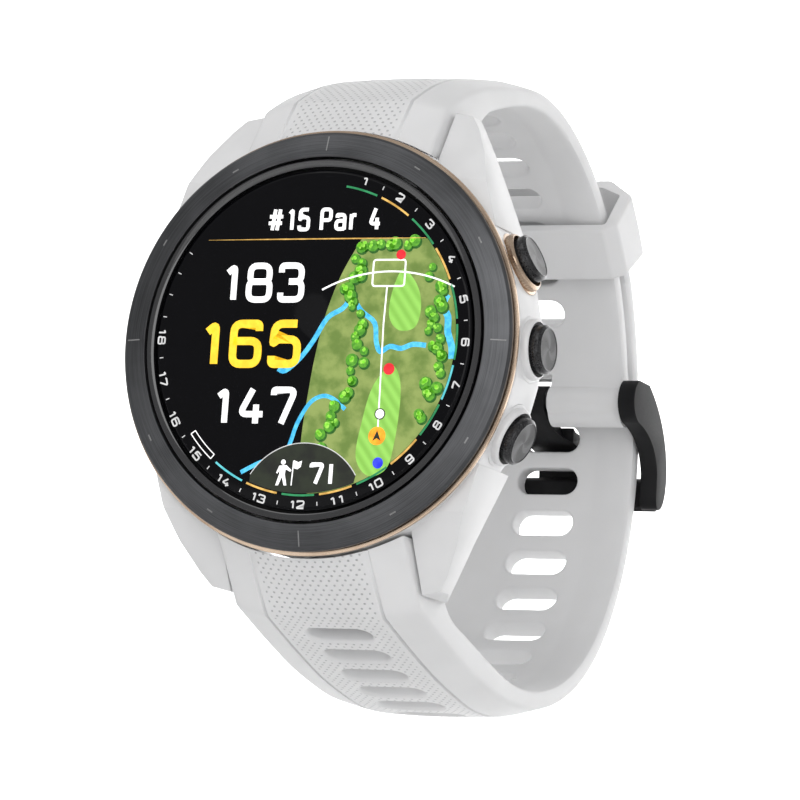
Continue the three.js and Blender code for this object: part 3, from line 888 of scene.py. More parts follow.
def slot_cell(strap, centre, pitch, per_cell, add):
    """The faces of the rectangle round one slot, the slot's rolled lips and its wall."""
    columns = range(2 * CELL_COLUMNS)
    border = [(-CELL_HALF + CELL_HALF * k / CELL_COLUMNS, -pitch / 2) for k in columns]
    border += [(CELL_HALF, -pitch / 2 + pitch * k / per_cell) for k in range(per_cell)]
    border += [(CELL_HALF - CELL_HALF * k / CELL_COLUMNS, pitch / 2) for k in columns]
    border += [(-CELL_HALF, pitch / 2 - pitch * k / per_cell) for k in range(per_cell)]
    straight = SLOT_HALF - SLOT_R
    lip_out, lip_in = 0.42, 0.3
    rings = []
    profile = [("outer", None, 0.0), ("outer", 0.5, 0.0)]
    for side, lip, angles in (("outer", lip_out, (0, 25, 50, 75, 90)), ("inner", lip_in, (90, 60, 30, 0))):
        profile += [(side, lip * (1 - math.sin(a)), lip * (1 - math.cos(a))) for a in np.radians(angles)]
    profile += [("inner", None, 0.0)]
    for side, offset, depth in profile:
        ring = []
        for u, v in border:
            core = min(max(u, -straight), straight)
            away = np.array((u - core, v))
            away = away / np.linalg.norm(away)
            slot_edge = np.array((core, 0.0)) + away * SLOT_R
            if offset is None:
                point = np.array((u, v))
            elif offset == 0.5 and depth == 0.0:
                point = (slot_edge + away * lip_out) * 0.5 + np.array((u, v)) * 0.5
            else:
                point = slot_edge + away * offset
            s = centre + point[1]
            if side == "outer":
                across = point[0] if depth < 0.05 else OFF_PATTERN
                ring.append(add(strap.outer(s, point[0], depth), (across, s)))
            else:
                ring.append(add(strap.inner(s, point[0], depth), (OFF_PATTERN, s)))
        rings.append(ring)
    return ring_faces(rings)


def add_strap_marks(obj, verts, marks):
    """Keeps the place across and along the strap as a UV map, in mm, for the pattern of holes."""
    tree = KDTree(len(verts))
    for i, point in enumerate(verts):
        tree.insert(Vector(point) * MM, i)
    tree.balance()
    layer = obj.data.uv_layers.new(name="strap")
    for polygon in obj.data.polygons:
        for loop in polygon.loop_indices:
            vertex = obj.data.vertices[obj.data.loops[loop].vertex_index]
            _, index, _ = tree.find(vertex.co)
            layer.data[loop].uv = marks[index]


def lug_cutters(sign):
    """The room for the lug pin, the hook and the latch, open towards the wrist."""
    hook_reach = 1.95
    pin_z = PIN_Z * sign
    span = sorted((pin_z, 26.4 * sign))
    return [
        rod_mesh(HOLE_R, -11, 11, PIN_Y, pin_z),
        box_mesh(-11.5, 11.5, PIN_Y, 5.2, pin_z - HOLE_R * 0.999, pin_z + HOLE_R * 0.999),
        rod_mesh(hook_reach, -5, 5, PIN_Y, pin_z),
        box_mesh(-5.01, 5.01, PIN_Y - 0.01, 8, pin_z - hook_reach * 0.998, pin_z + hook_reach * 0.998),
        box_mesh(-5.02, 5.02, 0.4, 8, *span),
    ]


def build_straps():
    short = strap_mesh(Strap(SHORT, SHORT_SLOTS, SHORT_SWELL, 0.0, True), "short_strap_skin")
    for cutter in lug_cutters(1):
        cut_away(short, *cutter)
    loop = mesh_object("loop", *rod_mesh(LOOP_R, -HALF + 0.02, HALF - 0.02, *BAR), MATERIALS["strap"])
    leave_plain(loop)
    combine(short, loop, "UNION")
    cut_away(short, *rod_mesh(HOLE_R, -11, 11, *BAR))
    cut_away(short, *box_mesh(-NOTCH_HALF, NOTCH_HALF, *NOTCH_BOX))
    long = strap_mesh(Strap(LONG, LONG_SLOTS, LONG_SWELL, 8.0, False), "long_strap_skin")
    for cutter in lug_cutters(-1):
        cut_away(long, *cutter)
    for obj, node in ((short, "short_strap"), (long, "long_strap")):
        reshade(obj, 40)
        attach(obj, "band")
        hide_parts(node)


# ------------------------------------------------------------------ case, front and buttons
def copy_of(node, name, material, bevel_width):
    """A CAD node's shape with its flat faces joined and its edges rounded."""
    source = frame["nodes"][node]
    work = bmesh.new()
    work.from_mesh(source.data)
    bmesh.ops.remove_doubles(work, verts=work.verts, dist=0.003 * MM)
    bmesh.ops.dissolve_limit(work, angle_limit=math.radians(1.0), verts=work.verts, edges=work.edges)
    mesh = bpy.data.meshes.new(name)
    work.to_mesh(mesh)
    work.free()
    obj = finish_object(name, mesh, material)
    bevel(obj, bevel_width, 3, 25)
    reshade(obj, 32)
    return obj


def build_case():
    case = copy_of("case_body", "case_shell", MATERIALS["case"], 0.22)
    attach(case, "watch_case")
    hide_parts("case_body")


def face_place(x, z, height):
    """A point over the lens, height mm in front of it."""
    return (x, LENS_TOP - height, z)


def clock(angle, radius):
    a = math.radians(angle)
    return radius * math.sin(a), radius * math.cos(a)


def build_bezel():
    bezel = lathe(
        "bezel_skin",
        rounded([(BEZEL_INNER, BEZEL_TOP), (BEZEL_SLOPE_R, BEZEL_EDGE), (BEZEL_R, -10.35),
                 (BEZEL_R, BEZEL_BACK), (BEZEL_INNER, BEZEL_BACK)], 0.08, 3),
        MATERIALS["bezel"], 240,
    )
    ring = lathe(
        "chamfer_ring_skin",
        rounded([(CHAMFER_INNER, -11.15), (CHAMFER_OUTER, BEZEL_TOP), (CHAMFER_OUTER, BEZEL_BACK),
                 (CHAMFER_INNER, BEZEL_BACK)], 0.06, 3),
        MATERIALS["gloss"], 240,
    )
    trim = lathe(
        "trim_ring_skin",
        rounded([(18.7, TRIM_FRONT), (TRIM_R, TRIM_FRONT), (TRIM_R, TRIM_BACK), (18.7, TRIM_BACK)], 0.08, 3),
        MATERIALS["rose"], 240,
    )
    lens = lathe(
        "lens_skin",
        rounded([(0, LENS_TOP), (LENS_R - 0.3, LENS_TOP), (LENS_R, LENS_TOP + 0.2), (LENS_R, -10.0), (0, -10.0)],
                0.05, 2),
        MATERIALS["glass"], 180,
    )
    for obj, node, slot in (
        (bezel, "bezel", "bezel_ceramic"),
        (ring, "bezel_chamfer_ring", "gloss_black"),
        (trim, "bezel_trim_ring", "rose_trim"),
        (lens, "lens", "lens_glass"),
    ):
        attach(obj, "watch_case")
        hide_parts(node)
    slope = (BEZEL_EDGE - BEZEL_TOP) / (BEZEL_SLOPE_R - BEZEL_INNER)
    ticks = []
    for k in range(12):
        reach, half_wide = (0.75, 0.06) if k % 3 == 0 else (0.07, 0.34)
        outline = [(-half_wide, -reach), (half_wide, -reach), (half_wide, reach), (-half_wide, reach)]
        a = math.radians(30 * k)

        def tick_place(across, along, height):
            r = TICK_R + along
            y = BEZEL_TOP + (r - BEZEL_INNER) * slope - height
            return (r * math.sin(a) + across * math.cos(a), y, r * math.cos(a) - across * math.sin(a))

        ticks.append(prism(outline, -0.03, 0.012, tick_place))
    obj = mesh_object("bezel_ticks", *join_lists(ticks), MATERIALS["tick"])
    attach(obj, "watch_case")


def button_frame(angle):
    a = math.radians(angle)

    def to_world(x, y, z):
        return (y * math.cos(a) - z * math.sin(a), BUTTON_Y - x, y * math.sin(a) + z * math.cos(a))

    return to_world


def build_buttons():
    for name, angle in BUTTON_ANGLES.items():
        to_world = button_frame(angle)
        head = rounded([(STEM_R, CAP_UNDER), (CAP_R, CAP_UNDER), (CAP_R, CAP_FACE - 0.3),
                        (CAP_R - 0.3, CAP_FACE - 0.02), (CAP_R - 0.42, CAP_FACE - 0.08), (STEM_R, CAP_FACE)], 0.05, 2)
        cap = lathe(
            f"{name}_button_cap_skin",
            # The head's first and last corners, three points each, are left out
            [(0, 17.5), (STEM_R, 17.5), (STEM_R, CAP_UNDER)] + head[3:-3] + [(0, CAP_FACE - 0.06)],
            MATERIALS["button"], 72, to_world,
        )
        cap.data.materials.append(MATERIALS["button_face"])
        mark_cap_face(cap, angle)
        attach(cap, f"{name}_button")
        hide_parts(f"{name}_button_cap")
        top = name == "top"

        def knurl(a, r, y):
            if top and r > COLLAR_R - 0.05 and 20.8 < y < 21.3:
                return -0.07 * (0.5 + 0.5 * math.cos(a * 48))
            return 0.0

        outer = [(COLLAR_R + 0.27, 20.3), (COLLAR_R + 0.27, 20.78), (COLLAR_R, 20.86), (COLLAR_R, 21.0),
                 (COLLAR_R, 21.2), (COLLAR_R, 21.32), (COLLAR_R - 0.1, 21.5), (COLLAR_R - 0.2, 21.58),
                 (COLLAR_R - 0.3, COLLAR_TOP)]
        collar = lathe(
            f"{name}_button_collar_skin",
            [(CAP_R + 0.3, 20.3)] + outer + [(CAP_R + 0.3, COLLAR_TOP - 0.05)],
            MATERIALS["rose" if top else "case"], 192 if top else 96, to_world, wobble=knurl,
        )
        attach(collar, "watch_case")
        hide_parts(f"{name}_button_collar")


def mark_cap_face(cap, angle):
    """Gives the cap's outward face its swirl, and a UV map in mm about the cap's axis."""
    a = math.radians(angle)
    outwards = Vector((math.cos(a), 0, math.sin(a)))
    tangent = Vector((-math.sin(a), 0, math.cos(a)))
    layer = cap.data.uv_layers.new(name="face")
    for polygon in cap.data.polygons:
        if polygon.normal.dot(outwards) > 0.9 and polygon.center.dot(outwards) > (CAP_FACE - 0.5) * MM:
            polygon.material_index = 1
        for loop in polygon.loop_indices:
            point = cap.data.vertices[cap.data.loops[loop].vertex_index].co
            layer.data[loop].uv = (point.dot(tangent) / MM, point.y / MM - BUTTON_Y)


# ------------------------------------------------------------------ keeper and buckle
def build_keeper():
    outer = rounded([(-10.4, -2.4), (10.4, -2.4), (11.7, -1.2), (11.7, 4.2), (8.6, 7.0), (-8.6, 7.0), (-11.7, 4.2),
                     (-11.7, -1.2)], 0.7, 5)
    inner = rounded([(-10.4, -1.3), (10.4, -1.3), (10.4, 4.1), (7.9, 5.6), (-7.9, 5.6), (-10.4, 4.1)], 0.5, 5)
    steps = 12
    edge = 0.35
    verts, faces = [], []
    rows = []

    def add_row(distance, loop, grow):
        point, _, outwards = SHORT.at(distance)
        row = []
        centre = np.array((0.0, 2.3))
        for x, n in loop:
            shift = np.array((x, n)) - centre
            length = np.linalg.norm(shift)
            x2, n2 = np.array((x, n)) + shift / length * grow
            place = point + outwards * n2
            verts.append((x2, place[0], place[1]))
            row.append(len(verts) - 1)
        rows.append(row)

    low = KEEPER_AT - KEEPER_LENGTH / 2
    high = KEEPER_AT + KEEPER_LENGTH / 2
    roll = [(edge * (1 - math.cos(a)), -edge * (1 - math.sin(a))) for a in np.radians((0, 30, 60, 90))]
    for run, grow in roll:
        add_row(low + run, outer, grow)
    for k in range(1, steps):
        add_row(low + edge + (KEEPER_LENGTH - 2 * edge) * k / steps, outer, 0.0)
    for run, grow in reversed(roll):
        add_row(high - run, outer, grow)
    outer_rows = len(rows)
    for k in range(steps + 1):
        add_row(low + KEEPER_LENGTH * k / steps, inner, 0.0)
    faces += ring_faces(rows[:outer_rows]) + ring_faces(rows[outer_rows:])
    for a, b in ((rows[0], rows[outer_rows]), (rows[outer_rows - 1], rows[-1])):
        faces += bridge(a, b, verts)
    keeper = mesh_object("keeper_skin", verts, faces, MATERIALS["silicone"], smooth=34)
    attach(keeper, "keeper_loop")
    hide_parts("keeper")


def bridge(a, b, verts):
    """Triangles between two closed loops with different numbers of points, walked by their angle."""
    def angle(i):
        x, y, z = verts[i]
        return math.atan2((y + z * 0.3) - centre, x)

    centre = sum(verts[i][1] + verts[i][2] * 0.3 for i in a) / len(a)
    first = sorted(a, key=angle)
    second = sorted(b, key=angle)
    faces = []
    i = j = 0
    while i < len(first) or j < len(second):
        p, q = first[i % len(first)], second[j % len(second)]
        next_p, next_q = first[(i + 1) % len(first)], second[(j + 1) % len(second)]
        angle_p = angle(next_p) + (2 * math.pi if i + 1 >= len(first) else 0)
        angle_q = angle(next_q) + (2 * math.pi if j + 1 >= len(second) else 0)
        if j >= len(second) or (i < len(first) and angle_p <= angle_q):
            faces.append((p, next_p, q))
            i += 1
        else:
            faces.append((p, next_q, q))
            j += 1
    return faces


def arc(y, z, radius, start, end, steps=24):
    angles = [start + (end - start) * k / steps for k in range(steps + 1)]
    return [(y + radius * math.cos(a), z + radius * math.sin(a)) for a in angles]


def curve(start, control, end, steps=12):
    return [
        tuple((1 - t) ** 2 * a + 2 * t * (1 - t) * b + t * t * c for a, b, c in zip(start, control, end))
        for t in (k / steps for k in range(1, steps + 1))
    ]


def build_buckle():
    knob = arc(46.7, 3.5, 2.4, math.pi * 0.65, math.pi * 1.45)
    outline = knob + curve(knob[-1], (51.4, 0.2), (52.4, -3.4)) + [(52.6, -6.2)]
    outline += curve((52.6, -6.2), (52.7, -7.2), (53.5, -7.2), 6) + curve((53.5, -7.2), (55.3, -6.8), (55.3, -3.4))
    outline += curve((55.3, -3.4), (54.6, 2.2), (48.6, 5.6))
    arms = []
    for x0, x1, tag in ((ARM_INNER, ARM_OUTER, "right"), (-ARM_OUTER, -ARM_INNER, "left")):
        arms.append(mesh_object(f"arm_{tag}", *side_plate(outline, x0, x1), MATERIALS["buckle"]))
    rim_outline = rounded([(54.15, -4.0), (54.0, -6.8), (54.6, -7.3), (55.3, -6.8), (55.5, -4.0), (54.9, -3.5)],
                          0.4, 4)
    rim = mesh_object("rim", *side_plate(rim_outline, -11.5, 11.5), MATERIALS["buckle"])
    frame_obj = arms[0]
    for other in (arms[1], rim):
        combine(frame_obj, other, "UNION")
    cut_away(frame_obj, *rod_mesh(HOLE_R, -11.8, 11.8, *BAR))
    frame_obj.name = "buckle_frame_skin"
    bevel(frame_obj, 0.45, 4, 40)
    reshade(frame_obj, 30)
    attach(frame_obj, "buckle")
    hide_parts("buckle_frame")

    hub = arc(*BAR, HUB_R, math.pi * 0.25, math.pi * 1.3)
    side = hub + curve(hub[-1], (48.8, 0.5), (51.4, -0.35)) + [(53.9, -0.75)]
    side += curve((53.9, -0.75), (55.8, -1.2), (55.85, -3.4)) + [(55.85, -6.9), (56.75, -6.9), (56.85, -2.8)]
    side += curve((56.85, -2.8), (56.5, 0.4), (53.8, 0.7)) + [(51.6, 0.95)]
    side += curve((51.6, 0.95), (50.0, 1.7), (49.2, 4.0))
    plate = side_plate(side, -TONGUE_HALF, TONGUE_HALF)
    tongue = mesh_object("buckle_tongue_skin", *plate, MATERIALS["buckle"])
    flare = curve((NECK_HALF, 1.4), (NECK_HALF + 0.1, -0.15), (3.5, -0.3), 10)
    for sign in (1, -1):
        waist = [(x * sign, z) for x, z in [(4, 7), (NECK_HALF, 7), (NECK_HALF, 1.4)] + flare + [(4, -0.3)]]
        cut_away(tongue, *prism(waist, 44, 51, lambda a, b, h: (a, h, b)))
    cut_away(tongue, *rod_mesh(HOLE_R, -5, 5, *BAR))
    bevel(tongue, 0.3, 3, 40)
    reshade(tongue, 30)
    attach(tongue, "tongue")
    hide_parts("buckle_tongue")


# ------------------------------------------------------------------ what the display shows
LAYERS = ("ground", "fairway", "water", "leaf_dark", "leaf_mid", "leaf_light", "line", "dot", "shade", "text")
LAYER_STEP = 0.006
DISC_R = 15.3  # the lit disc


def layer(name, parts, kind, material, rank=0.0):
    """Thin plates on the lens. kind and rank say how far they stand in front of it."""
    low = 0.004
    high = 0.008 + (LAYERS.index(kind) + rank) * LAYER_STEP
    solids = [prism(outline, low, high, face_place) for outline in parts]
    obj = mesh_object(name, *join_lists(solids), MATERIALS[material], weld=0.0005)
    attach(obj, "watch_case")


def smooth_line(points, steps=6, closed=False):
    """A Catmull-Rom curve through the points."""
    points = [np.array(p, float) for p in points]
    count = len(points)
    result = []
    for i in range(count if closed else count - 1):
        if closed:
            a, b, c, d = (points[(i + k) % count] for k in (-1, 0, 1, 2))
        else:
            a, b, c, d = points[max(i - 1, 0)], points[i], points[i + 1], points[min(i + 2, count - 1)]
        for k in range(steps):
            t = k / steps
            result.append(tuple(0.5 * (2 * b + (c - a) * t + (2 * a - 5 * b + 4 * c - d) * t * t
                                       + (3 * b - a - 3 * c + d) * t ** 3)))
    if not closed:
        result.append(tuple(points[-1]))
    return result


def strip(points, width):
    """The outline of a line with mitred corners. width is one number, or one for each point."""
    points = [np.array(p, float) for p in points]
    widths = width if isinstance(width, (list, tuple)) else [width] * len(points)
    left, right = [], []
    for i, point in enumerate(points):
        before = point - points[i - 1] if i else points[1] - point
        after = points[i + 1] - point if i < len(points) - 1 else before
        before = before / np.linalg.norm(before)
        after = after / np.linalg.norm(after)
        normal = np.array((-(before + after)[1], (before + after)[0]))
        normal = normal / np.linalg.norm(normal)
        miter = 1 / max(0.5, float(normal @ np.array((-before[1], before[0]))))
        left.append(tuple(point + normal * widths[i] / 2 * miter))
        right.append(tuple(point - normal * widths[i] / 2 * miter))
    return left + right[::-1]


def arc_strip(start, end, radius, width, steps=14, centre=(0.0, 0.0)):
    def on(angle, r):
        x, z = clock(angle, r)
        return (x + centre[0], z + centre[1])

    angles = [start + (end - start) * k / steps for k in range(steps + 1)]
    return [on(a, radius + width / 2) for a in angles] + [on(a, radius - width / 2) for a in reversed(angles)]


# Each figure's strokes in a box of 1 by 1. The flag says whether the stroke closes on itself.
GLYPHS = {
    "0": [([(0, 0.5), (0, 0), (1, 0), (1, 1), (0, 1)], True)],
    "1": [([(0.22, 0.80), (0.72, 0.98), (0.72, 0)], False)],
    "2": [([(0, 0.80), (0, 1), (1, 1), (1, 0.55), (0, 0.12), (0, 0), (1, 0)], False)],
    "3": [([(0, 0.80), (0, 1), (0.96, 1), (0.96, 0.53), (0.38, 0.53)], False),
          ([(0.38, 0.53), (1, 0.53), (1, 0), (0, 0), (0, 0.2)], False)],
    "4": [([(0.55, 1.02), (0, 0.26), (1.06, 0.26)], False), ([(0.74, 0.55), (0.74, -0.02)], False)],
    "5": [([(0.94, 1), (0.08, 1), (0.03, 0.5), (0.2, 0.61), (1, 0.61), (1, 0), (0, 0), (0, 0.2)], False)],
    "6": [([(0, 0.57), (1, 0.57), (1, 0), (0, 0), (0, 1), (1, 1), (1, 0.82)], False)],
    "7": [([(0, 0.84), (0, 1), (1, 1), (0.42, -0.02)], False)],
    "8": [([(0.5, 0.53), (0.04, 0.53), (0.04, 1), (0.96, 1), (0.96, 0.53)], True),
          ([(0.5, 0.53), (0, 0.53), (0, 0), (1, 0), (1, 0.53)], True)],
    "9": [([(1, 0.43), (0, 0.43), (0, 1), (1, 1), (1, 0), (0, 0), (0, 0.18)], False)],
    "#": [([(0.25, -0.02), (0.42, 1.02)], False), ([(0.62, -0.02), (0.79, 1.02)], False),
          ([(0.02, 0.66), (1.02, 0.66)], False), ([(-0.04, 0.33), (0.96, 0.33)], False)],
    "P": [([(0, -0.02), (0, 1), (1, 1), (1, 0.46), (0.05, 0.46)], False)],
    "a": [([(0.08, 0.58), (0.08, 0.72), (0.92, 0.72), (0.92, -0.02)], False),
          ([(0.92, 0.42), (0, 0.42), (0, 0), (0.92, 0.02)], False)],
    "r": [([(0, -0.02), (0, 0.74)], False), ([(0, 0.5), (0.15, 0.7), (0.8, 0.7)], False)],
    "I": [([(0.5, -0.02), (0.5, 1.02)], False)],
}
NARROW = {"1": 0.72, "I": 0.5, " ": 0.4, "r": 0.75, "#": 1.35}


def filleted(points, radius, closed):
    """The line with its corners rounded. A closed line starts and ends on its first side."""
    corners = [np.array(p, float) for p in points]
    if closed:
        corners.append(corners[0])
    result = [corners[0]]
    for i in range(1, len(corners) - 1):
        before = corners[i - 1] - corners[i]
        after = corners[i + 1] - corners[i]
        len_before, len_after = np.linalg.norm(before), np.linalg.norm(after)
        cut = min(radius, 0.48 * len_before, 0.48 * len_after)
        start = corners[i] + before / len_before * cut
        end = corners[i] + after / len_after * cut
        result += corner_curve(start, corners[i], end, 5)
    last = corners[-1]
    if closed:
        away = last - result[-1]
        last = last - away / np.linalg.norm(away) * 0.01
    result.append(last)
    return [tuple(p) for p in result]


def text_outlines(words, box, stroke, round_off, turn=0.0, centre=(0.0, 0.0), gap=None):
    """The figures of words, drawn in a box (x0, x1, z0, z1) turned about its own origin."""
    x0, x1, z0, z1 = box
    gap = stroke * 0.75 if gap is None else gap
    shares = [NARROW.get(letter, 1.0) for letter in words]
    each = (x1 - x0 - gap * (len(words) - 1)) / sum(shares)
    a = math.radians(turn)
    outlines = []
    left = x0
    for letter, share in zip(words, shares):
        wide = each * share - stroke
        tall = z1 - z0 - stroke
        for points, closed in GLYPHS.get(letter, []):
            line = [(left + stroke / 2 + u * wide, z0 + stroke / 2 + v * tall) for u, v in points]
            outline = strip(filleted(line, round_off, closed), stroke)
            outlines.append([
                (x * math.cos(a) + z * math.sin(a) + centre[0], z * math.cos(a) - x * math.sin(a) + centre[1])
                for x, z in outline
            ])
        left += each * share + gap
    return outlines


def add_display_materials():
    MATERIALS.update({
        "white": lit("display_white", (0.78, 0.78, 0.78), (0.86, 0.86, 0.86)),
        "soft_white": lit("display_soft_white", (0.42, 0.42, 0.42), (0.5, 0.5, 0.5)),
        "yellow": lit("display_yellow", (0.78, 0.47, 0.02), (0.88, 0.56, 0.03)),
        "gold_line": lit("display_gold", (0.42, 0.24, 0.05), (0.62, 0.38, 0.1)),
        "score_green": lit("display_green", (0.01, 0.15, 0.05), (0.02, 0.21, 0.08)),
        "teal": lit("display_teal", (0.06, 0.38, 0.42), (0.1, 0.46, 0.5)),
        "ground": lit("display_ground", (0.10, 0.16, 0.03), (0.20, 0.26, 0.07), 0.55),
        "fairway": lit("display_fairway", (0.16, 0.37, 0.05), (0.24, 0.50, 0.09), pattern="stripes"),
        "water": lit("display_water", (0.03, 0.32, 0.58), (0.08, 0.46, 0.72), 2.0),
        "leaf_dark": lit("leaf_dark", (0.01, 0.07, 0.005), (0.02, 0.10, 0.01), 2.5),
        "leaf_mid": lit("leaf_mid", (0.04, 0.19, 0.01), (0.09, 0.30, 0.02), 2.5),
        "leaf_light": lit("leaf_light", (0.16, 0.42, 0.03), (0.27, 0.58, 0.07), 3.0),
        "red": lit("display_red", (0.55, 0.01, 0.02), (0.65, 0.02, 0.03)),
        "blue": lit("display_blue", (0.01, 0.02, 0.55), (0.03, 0.05, 0.7)),
        "orange": lit("display_orange", (0.75, 0.24, 0.01), (0.9, 0.36, 0.02)),
        "ink": lit("display_ink", (0.005, 0.006, 0.004), (0.012, 0.016, 0.008), 0.5),
    })


def build_display():
    add_display_materials()
    build_map()
    build_score_ring()
    layer("hole_header", text_outlines("#15 Par 4", (-5.7, 6.5, 10.75, 13.1), 0.36, 0.35), "text", "white")
    separator = strip([(-12.0, 9.95), (-4.0, 9.98), (4.0, 9.99), (11.4, 10.0)], [0.02, 0.12, 0.12, 0.05])
    layer("separator", [separator], "line", "gold_line")
    for name, words, box, stroke, round_off, gap, look in (
        ("far_distance", "183", (-10.2, -1.2, 3.65, 7.65), 0.62, 0.75, 0.6, "white"),
        ("middle_distance", "165", (-12.1, -1.1, -2.85, 1.95), 0.8, 0.9, 0.7, "yellow"),
        ("near_distance", "147", (-10.2, -1.0, -8.6, -4.7), 0.62, 0.75, 0.6, "white"),
    ):
        layer(name, text_outlines(words, box, stroke, round_off, gap=gap), "text", look)
    centre, radius = (0.1, -16.9), 6.65
    reach = 58.0
    rim = [clock(-reach + 2 * reach * k / 30, radius) for k in range(31)]
    rim = [(x + centre[0], z + centre[1]) for x, z in rim]
    low = [clock(180 - 21.5 + 43.0 * k / 24, DISC_R - 0.1) for k in range(25)]
    layer("tip_shade", [rim + low], "shade", "ink")
    layer("tip_rim", [arc_strip(-reach, reach, radius, 0.09, 40, centre)], "shade", "soft_white", 0.5)
    layer("club", text_outlines("7I", (0.8, 3.5, -14.4, -12.15), 0.4, 0.3), "text", "white")
    build_golfer()


def build_golfer():
    """A small figure who leans on a flag pole."""
    figure = [
        disc_outline(-2.05, -12.15, 0.26, 16),
        [(-2.45, -12.5), (-1.7, -12.45), (-1.1, -12.95), (-1.25, -13.1), (-1.75, -12.85), (-1.8, -13.35),
         (-1.55, -14.45), (-1.85, -14.45), (-2.1, -13.6), (-2.45, -14.45), (-2.75, -14.45), (-2.4, -13.3),
         (-2.4, -12.95), (-2.6, -13.3), (-2.75, -13.2)],
        strip([(-1.05, -14.45), (-0.95, -12.0)], 0.12),
        [(-0.9, -12.75), (-0.9, -11.95), (-0.45, -12.15), (-0.05, -12.0), (-0.15, -12.6), (-0.5, -12.85)],
    ]
    layer("golfer", figure, "text", "white")


def build_map():
    left_edge = smooth_line([(4.6, 10.0), (2.7, 6.5), (1.3, 2.5), (0.5, -1.5), (0.0, -5.5), (-0.35, -9.5),
                             (-0.3, -12.5), (0.2, -15.1)], 5)
    right_edge = [clock(177 - (177 - 49.3) * k / 40, DISC_R - 0.05) for k in range(41)]
    layer("map_ground", [left_edge + right_edge], "ground", "ground")
    upper = smooth_line([(9.2, 6.9), (8.2, 4.6), (8.1, 2.2), (9.2, 0.9), (10.9, 1.2), (11.4, 3.2), (10.8, 5.4)],
                        6, True)
    lower = smooth_line([(8.6, -2.6), (6.9, -4.6), (6.0, -8.0), (5.6, -11.6), (7.0, -13.4), (8.9, -12.7),
                         (9.6, -10.0), (9.9, -6.0), (9.6, -3.6)], 6, True)
    layer("fairways", [upper, lower], "fairway", "fairway")
    streams = [
        ([(-3.4, -2.9), (-2.6, -3.1), (-1.1, -1.85), (0.2, -0.1), (1.5, 2.1), (3.0, 3.0), (4.0, 3.9), (5.2, 2.7),
          (6.6, 1.6), (6.9, -0.2), (7.4, -1.2), (8.4, -0.7), (9.6, -0.9), (10.8, -0.5), (12.2, -0.6)], 0.5),
        ([(-6.6, -13.2), (-4.6, -12.2), (-2.0, -11.2), (-0.9, -8.3), (0.3, -6.3), (1.6, -5.6), (2.8, -5.9),
          (4.1, -6.9)], 0.42),
        ([(14.1, 4.4), (13.7, 3.3), (14.3, 2.2), (14.4, 0.7), (14.9, -0.7), (15.0, -1.9)], 0.7),
    ]
    layer("streams", [strip(smooth_line(points, 4), width) for points, width in streams], "water", "water")
    build_trees()
    build_marks()


def build_trees():
    rng = random.Random(7)
    dark, mid, light = [], [], []
    rows = [
        ([(4.9, 9.4), (4.3, 7.0), (3.7, 4.9), (4.9, 3.0), (5.4, 0.2), (4.9, -2.4), (4.2, -5.0), (3.0, -8.0),
          (2.2, -10.6), (2.6, -13.6)], 34, 0.85),
        ([(12.2, 9.0), (12.8, 6.6), (13.3, 4.2), (12.6, 1.2), (13.0, -1.2), (13.3, -4.0), (12.9, -6.4),
          (12.5, -8.4)], 34, 0.9),
        ([(5.2, 9.6), (8.0, 9.7), (10.8, 9.5)], 7, 0.25),
    ]
    for path, count, spread in rows:
        line = smooth_line(path, 12)
        for k in range(count):
            x, z = line[int(k / count * (len(line) - 1))]
            x += rng.uniform(-spread, spread)
            z += rng.uniform(-0.4, 0.4)
            radius = rng.uniform(0.42, 0.72)
            if math.hypot(x, z) > DISC_R - radius - 0.2:
                continue
            dark.append(disc_outline(x + 0.12, z - 0.14, radius * 1.05, 14))
            mid.append(disc_outline(x, z, radius * 0.92, 14))
            for _ in range(3):
                light.append(disc_outline(x - 0.12 + rng.uniform(-0.2, 0.2), z + 0.14 + rng.uniform(-0.2, 0.2),
                                          radius * rng.uniform(0.2, 0.4), 10))
    layer("tree_shadows", dark, "leaf_dark", "leaf_dark")
    layer("tree_crowns", mid, "leaf_mid", "leaf_mid")
    layer("tree_lights", light, "leaf_light", "leaf_light")


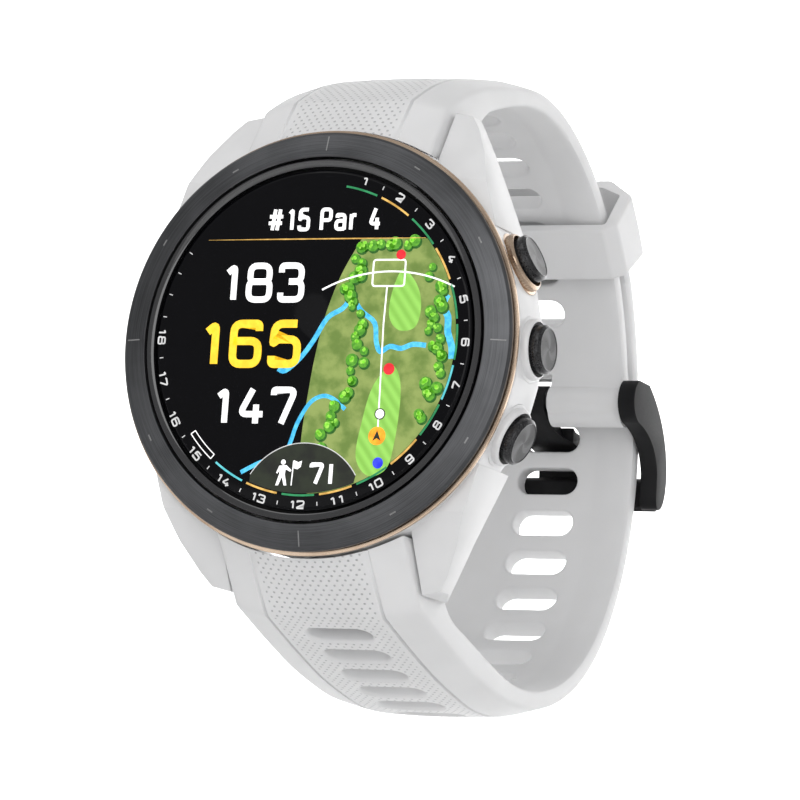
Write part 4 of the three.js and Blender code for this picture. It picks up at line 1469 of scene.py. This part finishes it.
def build_marks():
    layer("distance_arc", [arc_strip(-27.6, 25.6, 15.7, 0.17, 40, (8.0, -9.0))], "line", "white")
    layer("aim_line", [strip([(7.65, 5.3), (7.55, 1.5), (7.75, -9.0)], 0.15)], "line", "white", 0.2)
    box = rounded([(6.05, 5.25), (9.45, 5.25), (9.45, 7.85), (6.05, 7.85)], 0.3, 4)
    sides = [strip([box[i], box[(i + 1) % len(box)]], 0.17) for i in range(len(box))]
    layer("target_box", sides, "line", "white", 0.4)
    layer("red_marks", [disc_outline(8.47, -2.92, 0.58), disc_outline(8.9, 8.35, 0.5)], "dot", "red")
    layer("ball_rim", [disc_outline(7.85, -7.34, 0.56)], "dot", "ink")
    layer("ball", [disc_outline(7.85, -7.34, 0.46)], "dot", "white", 0.4)
    layer("pin_blue", [disc_outline(8.0, -12.14, 0.55)], "dot", "blue")
    layer("player", [disc_outline(7.7, -9.5, 0.9, 28)], "dot", "orange")
    arrow = [(7.7, -8.95), (8.15, -10.0), (7.7, -9.72), (7.25, -10.0)]
    layer("player_arrow", [arrow], "dot", "ink", 0.4)


def build_score_ring():
    colors = {"score_green": (1, 3, 5, 6, 8, 10, 12), "gold_line": (2, 4, 9, 11, 13), "teal": (7, 14)}
    for look, numbers in colors.items():
        arcs = [arc_strip(15 * k + 1 - 6.5, 15 * k + 1 + 6.5, DISC_R + 0.1, 0.2) for k in numbers]
        layer(f"score_{look}", arcs, "line", look)
    low, high, inner, outer = 220.0, 232.5, DISC_R - 0.35, DISC_R + 0.2
    frame_lines = [arc_strip(low, high, inner, 0.09), arc_strip(low, high, outer, 0.09)]
    frame_lines += [strip([clock(a, inner), clock(a, outer)], 0.09) for a in (low, high)]
    layer("score_box", frame_lines, "line", "white")
    radius = 16.32
    numbers = []
    for number in range(1, 19):
        angle = 15 * number + 1
        half = 0.4 if number < 10 else 0.8
        flip = 180 if number > 6 else 0
        numbers += text_outlines(str(number), (-half, half, -0.43, 0.43), 0.15, 0.16, angle + flip,
                                 clock(angle, radius), 0.16)
    layer("hole_numbers", numbers, "text", "soft_white")
    ticks = [15 * k + 8.5 for k in range(1, 18)] + [278.0, 286.0, 294.0, 302.0]
    layer("score_ticks", [strip([clock(a, radius - 0.2), clock(a, radius + 0.18)], 0.09) for a in ticks], "line",
          "soft_white")


paint_frame()
place_camera()
build_room()
build_case()
build_bezel()
build_display()
build_buttons()
build_straps()
build_keeper()
build_buckle()
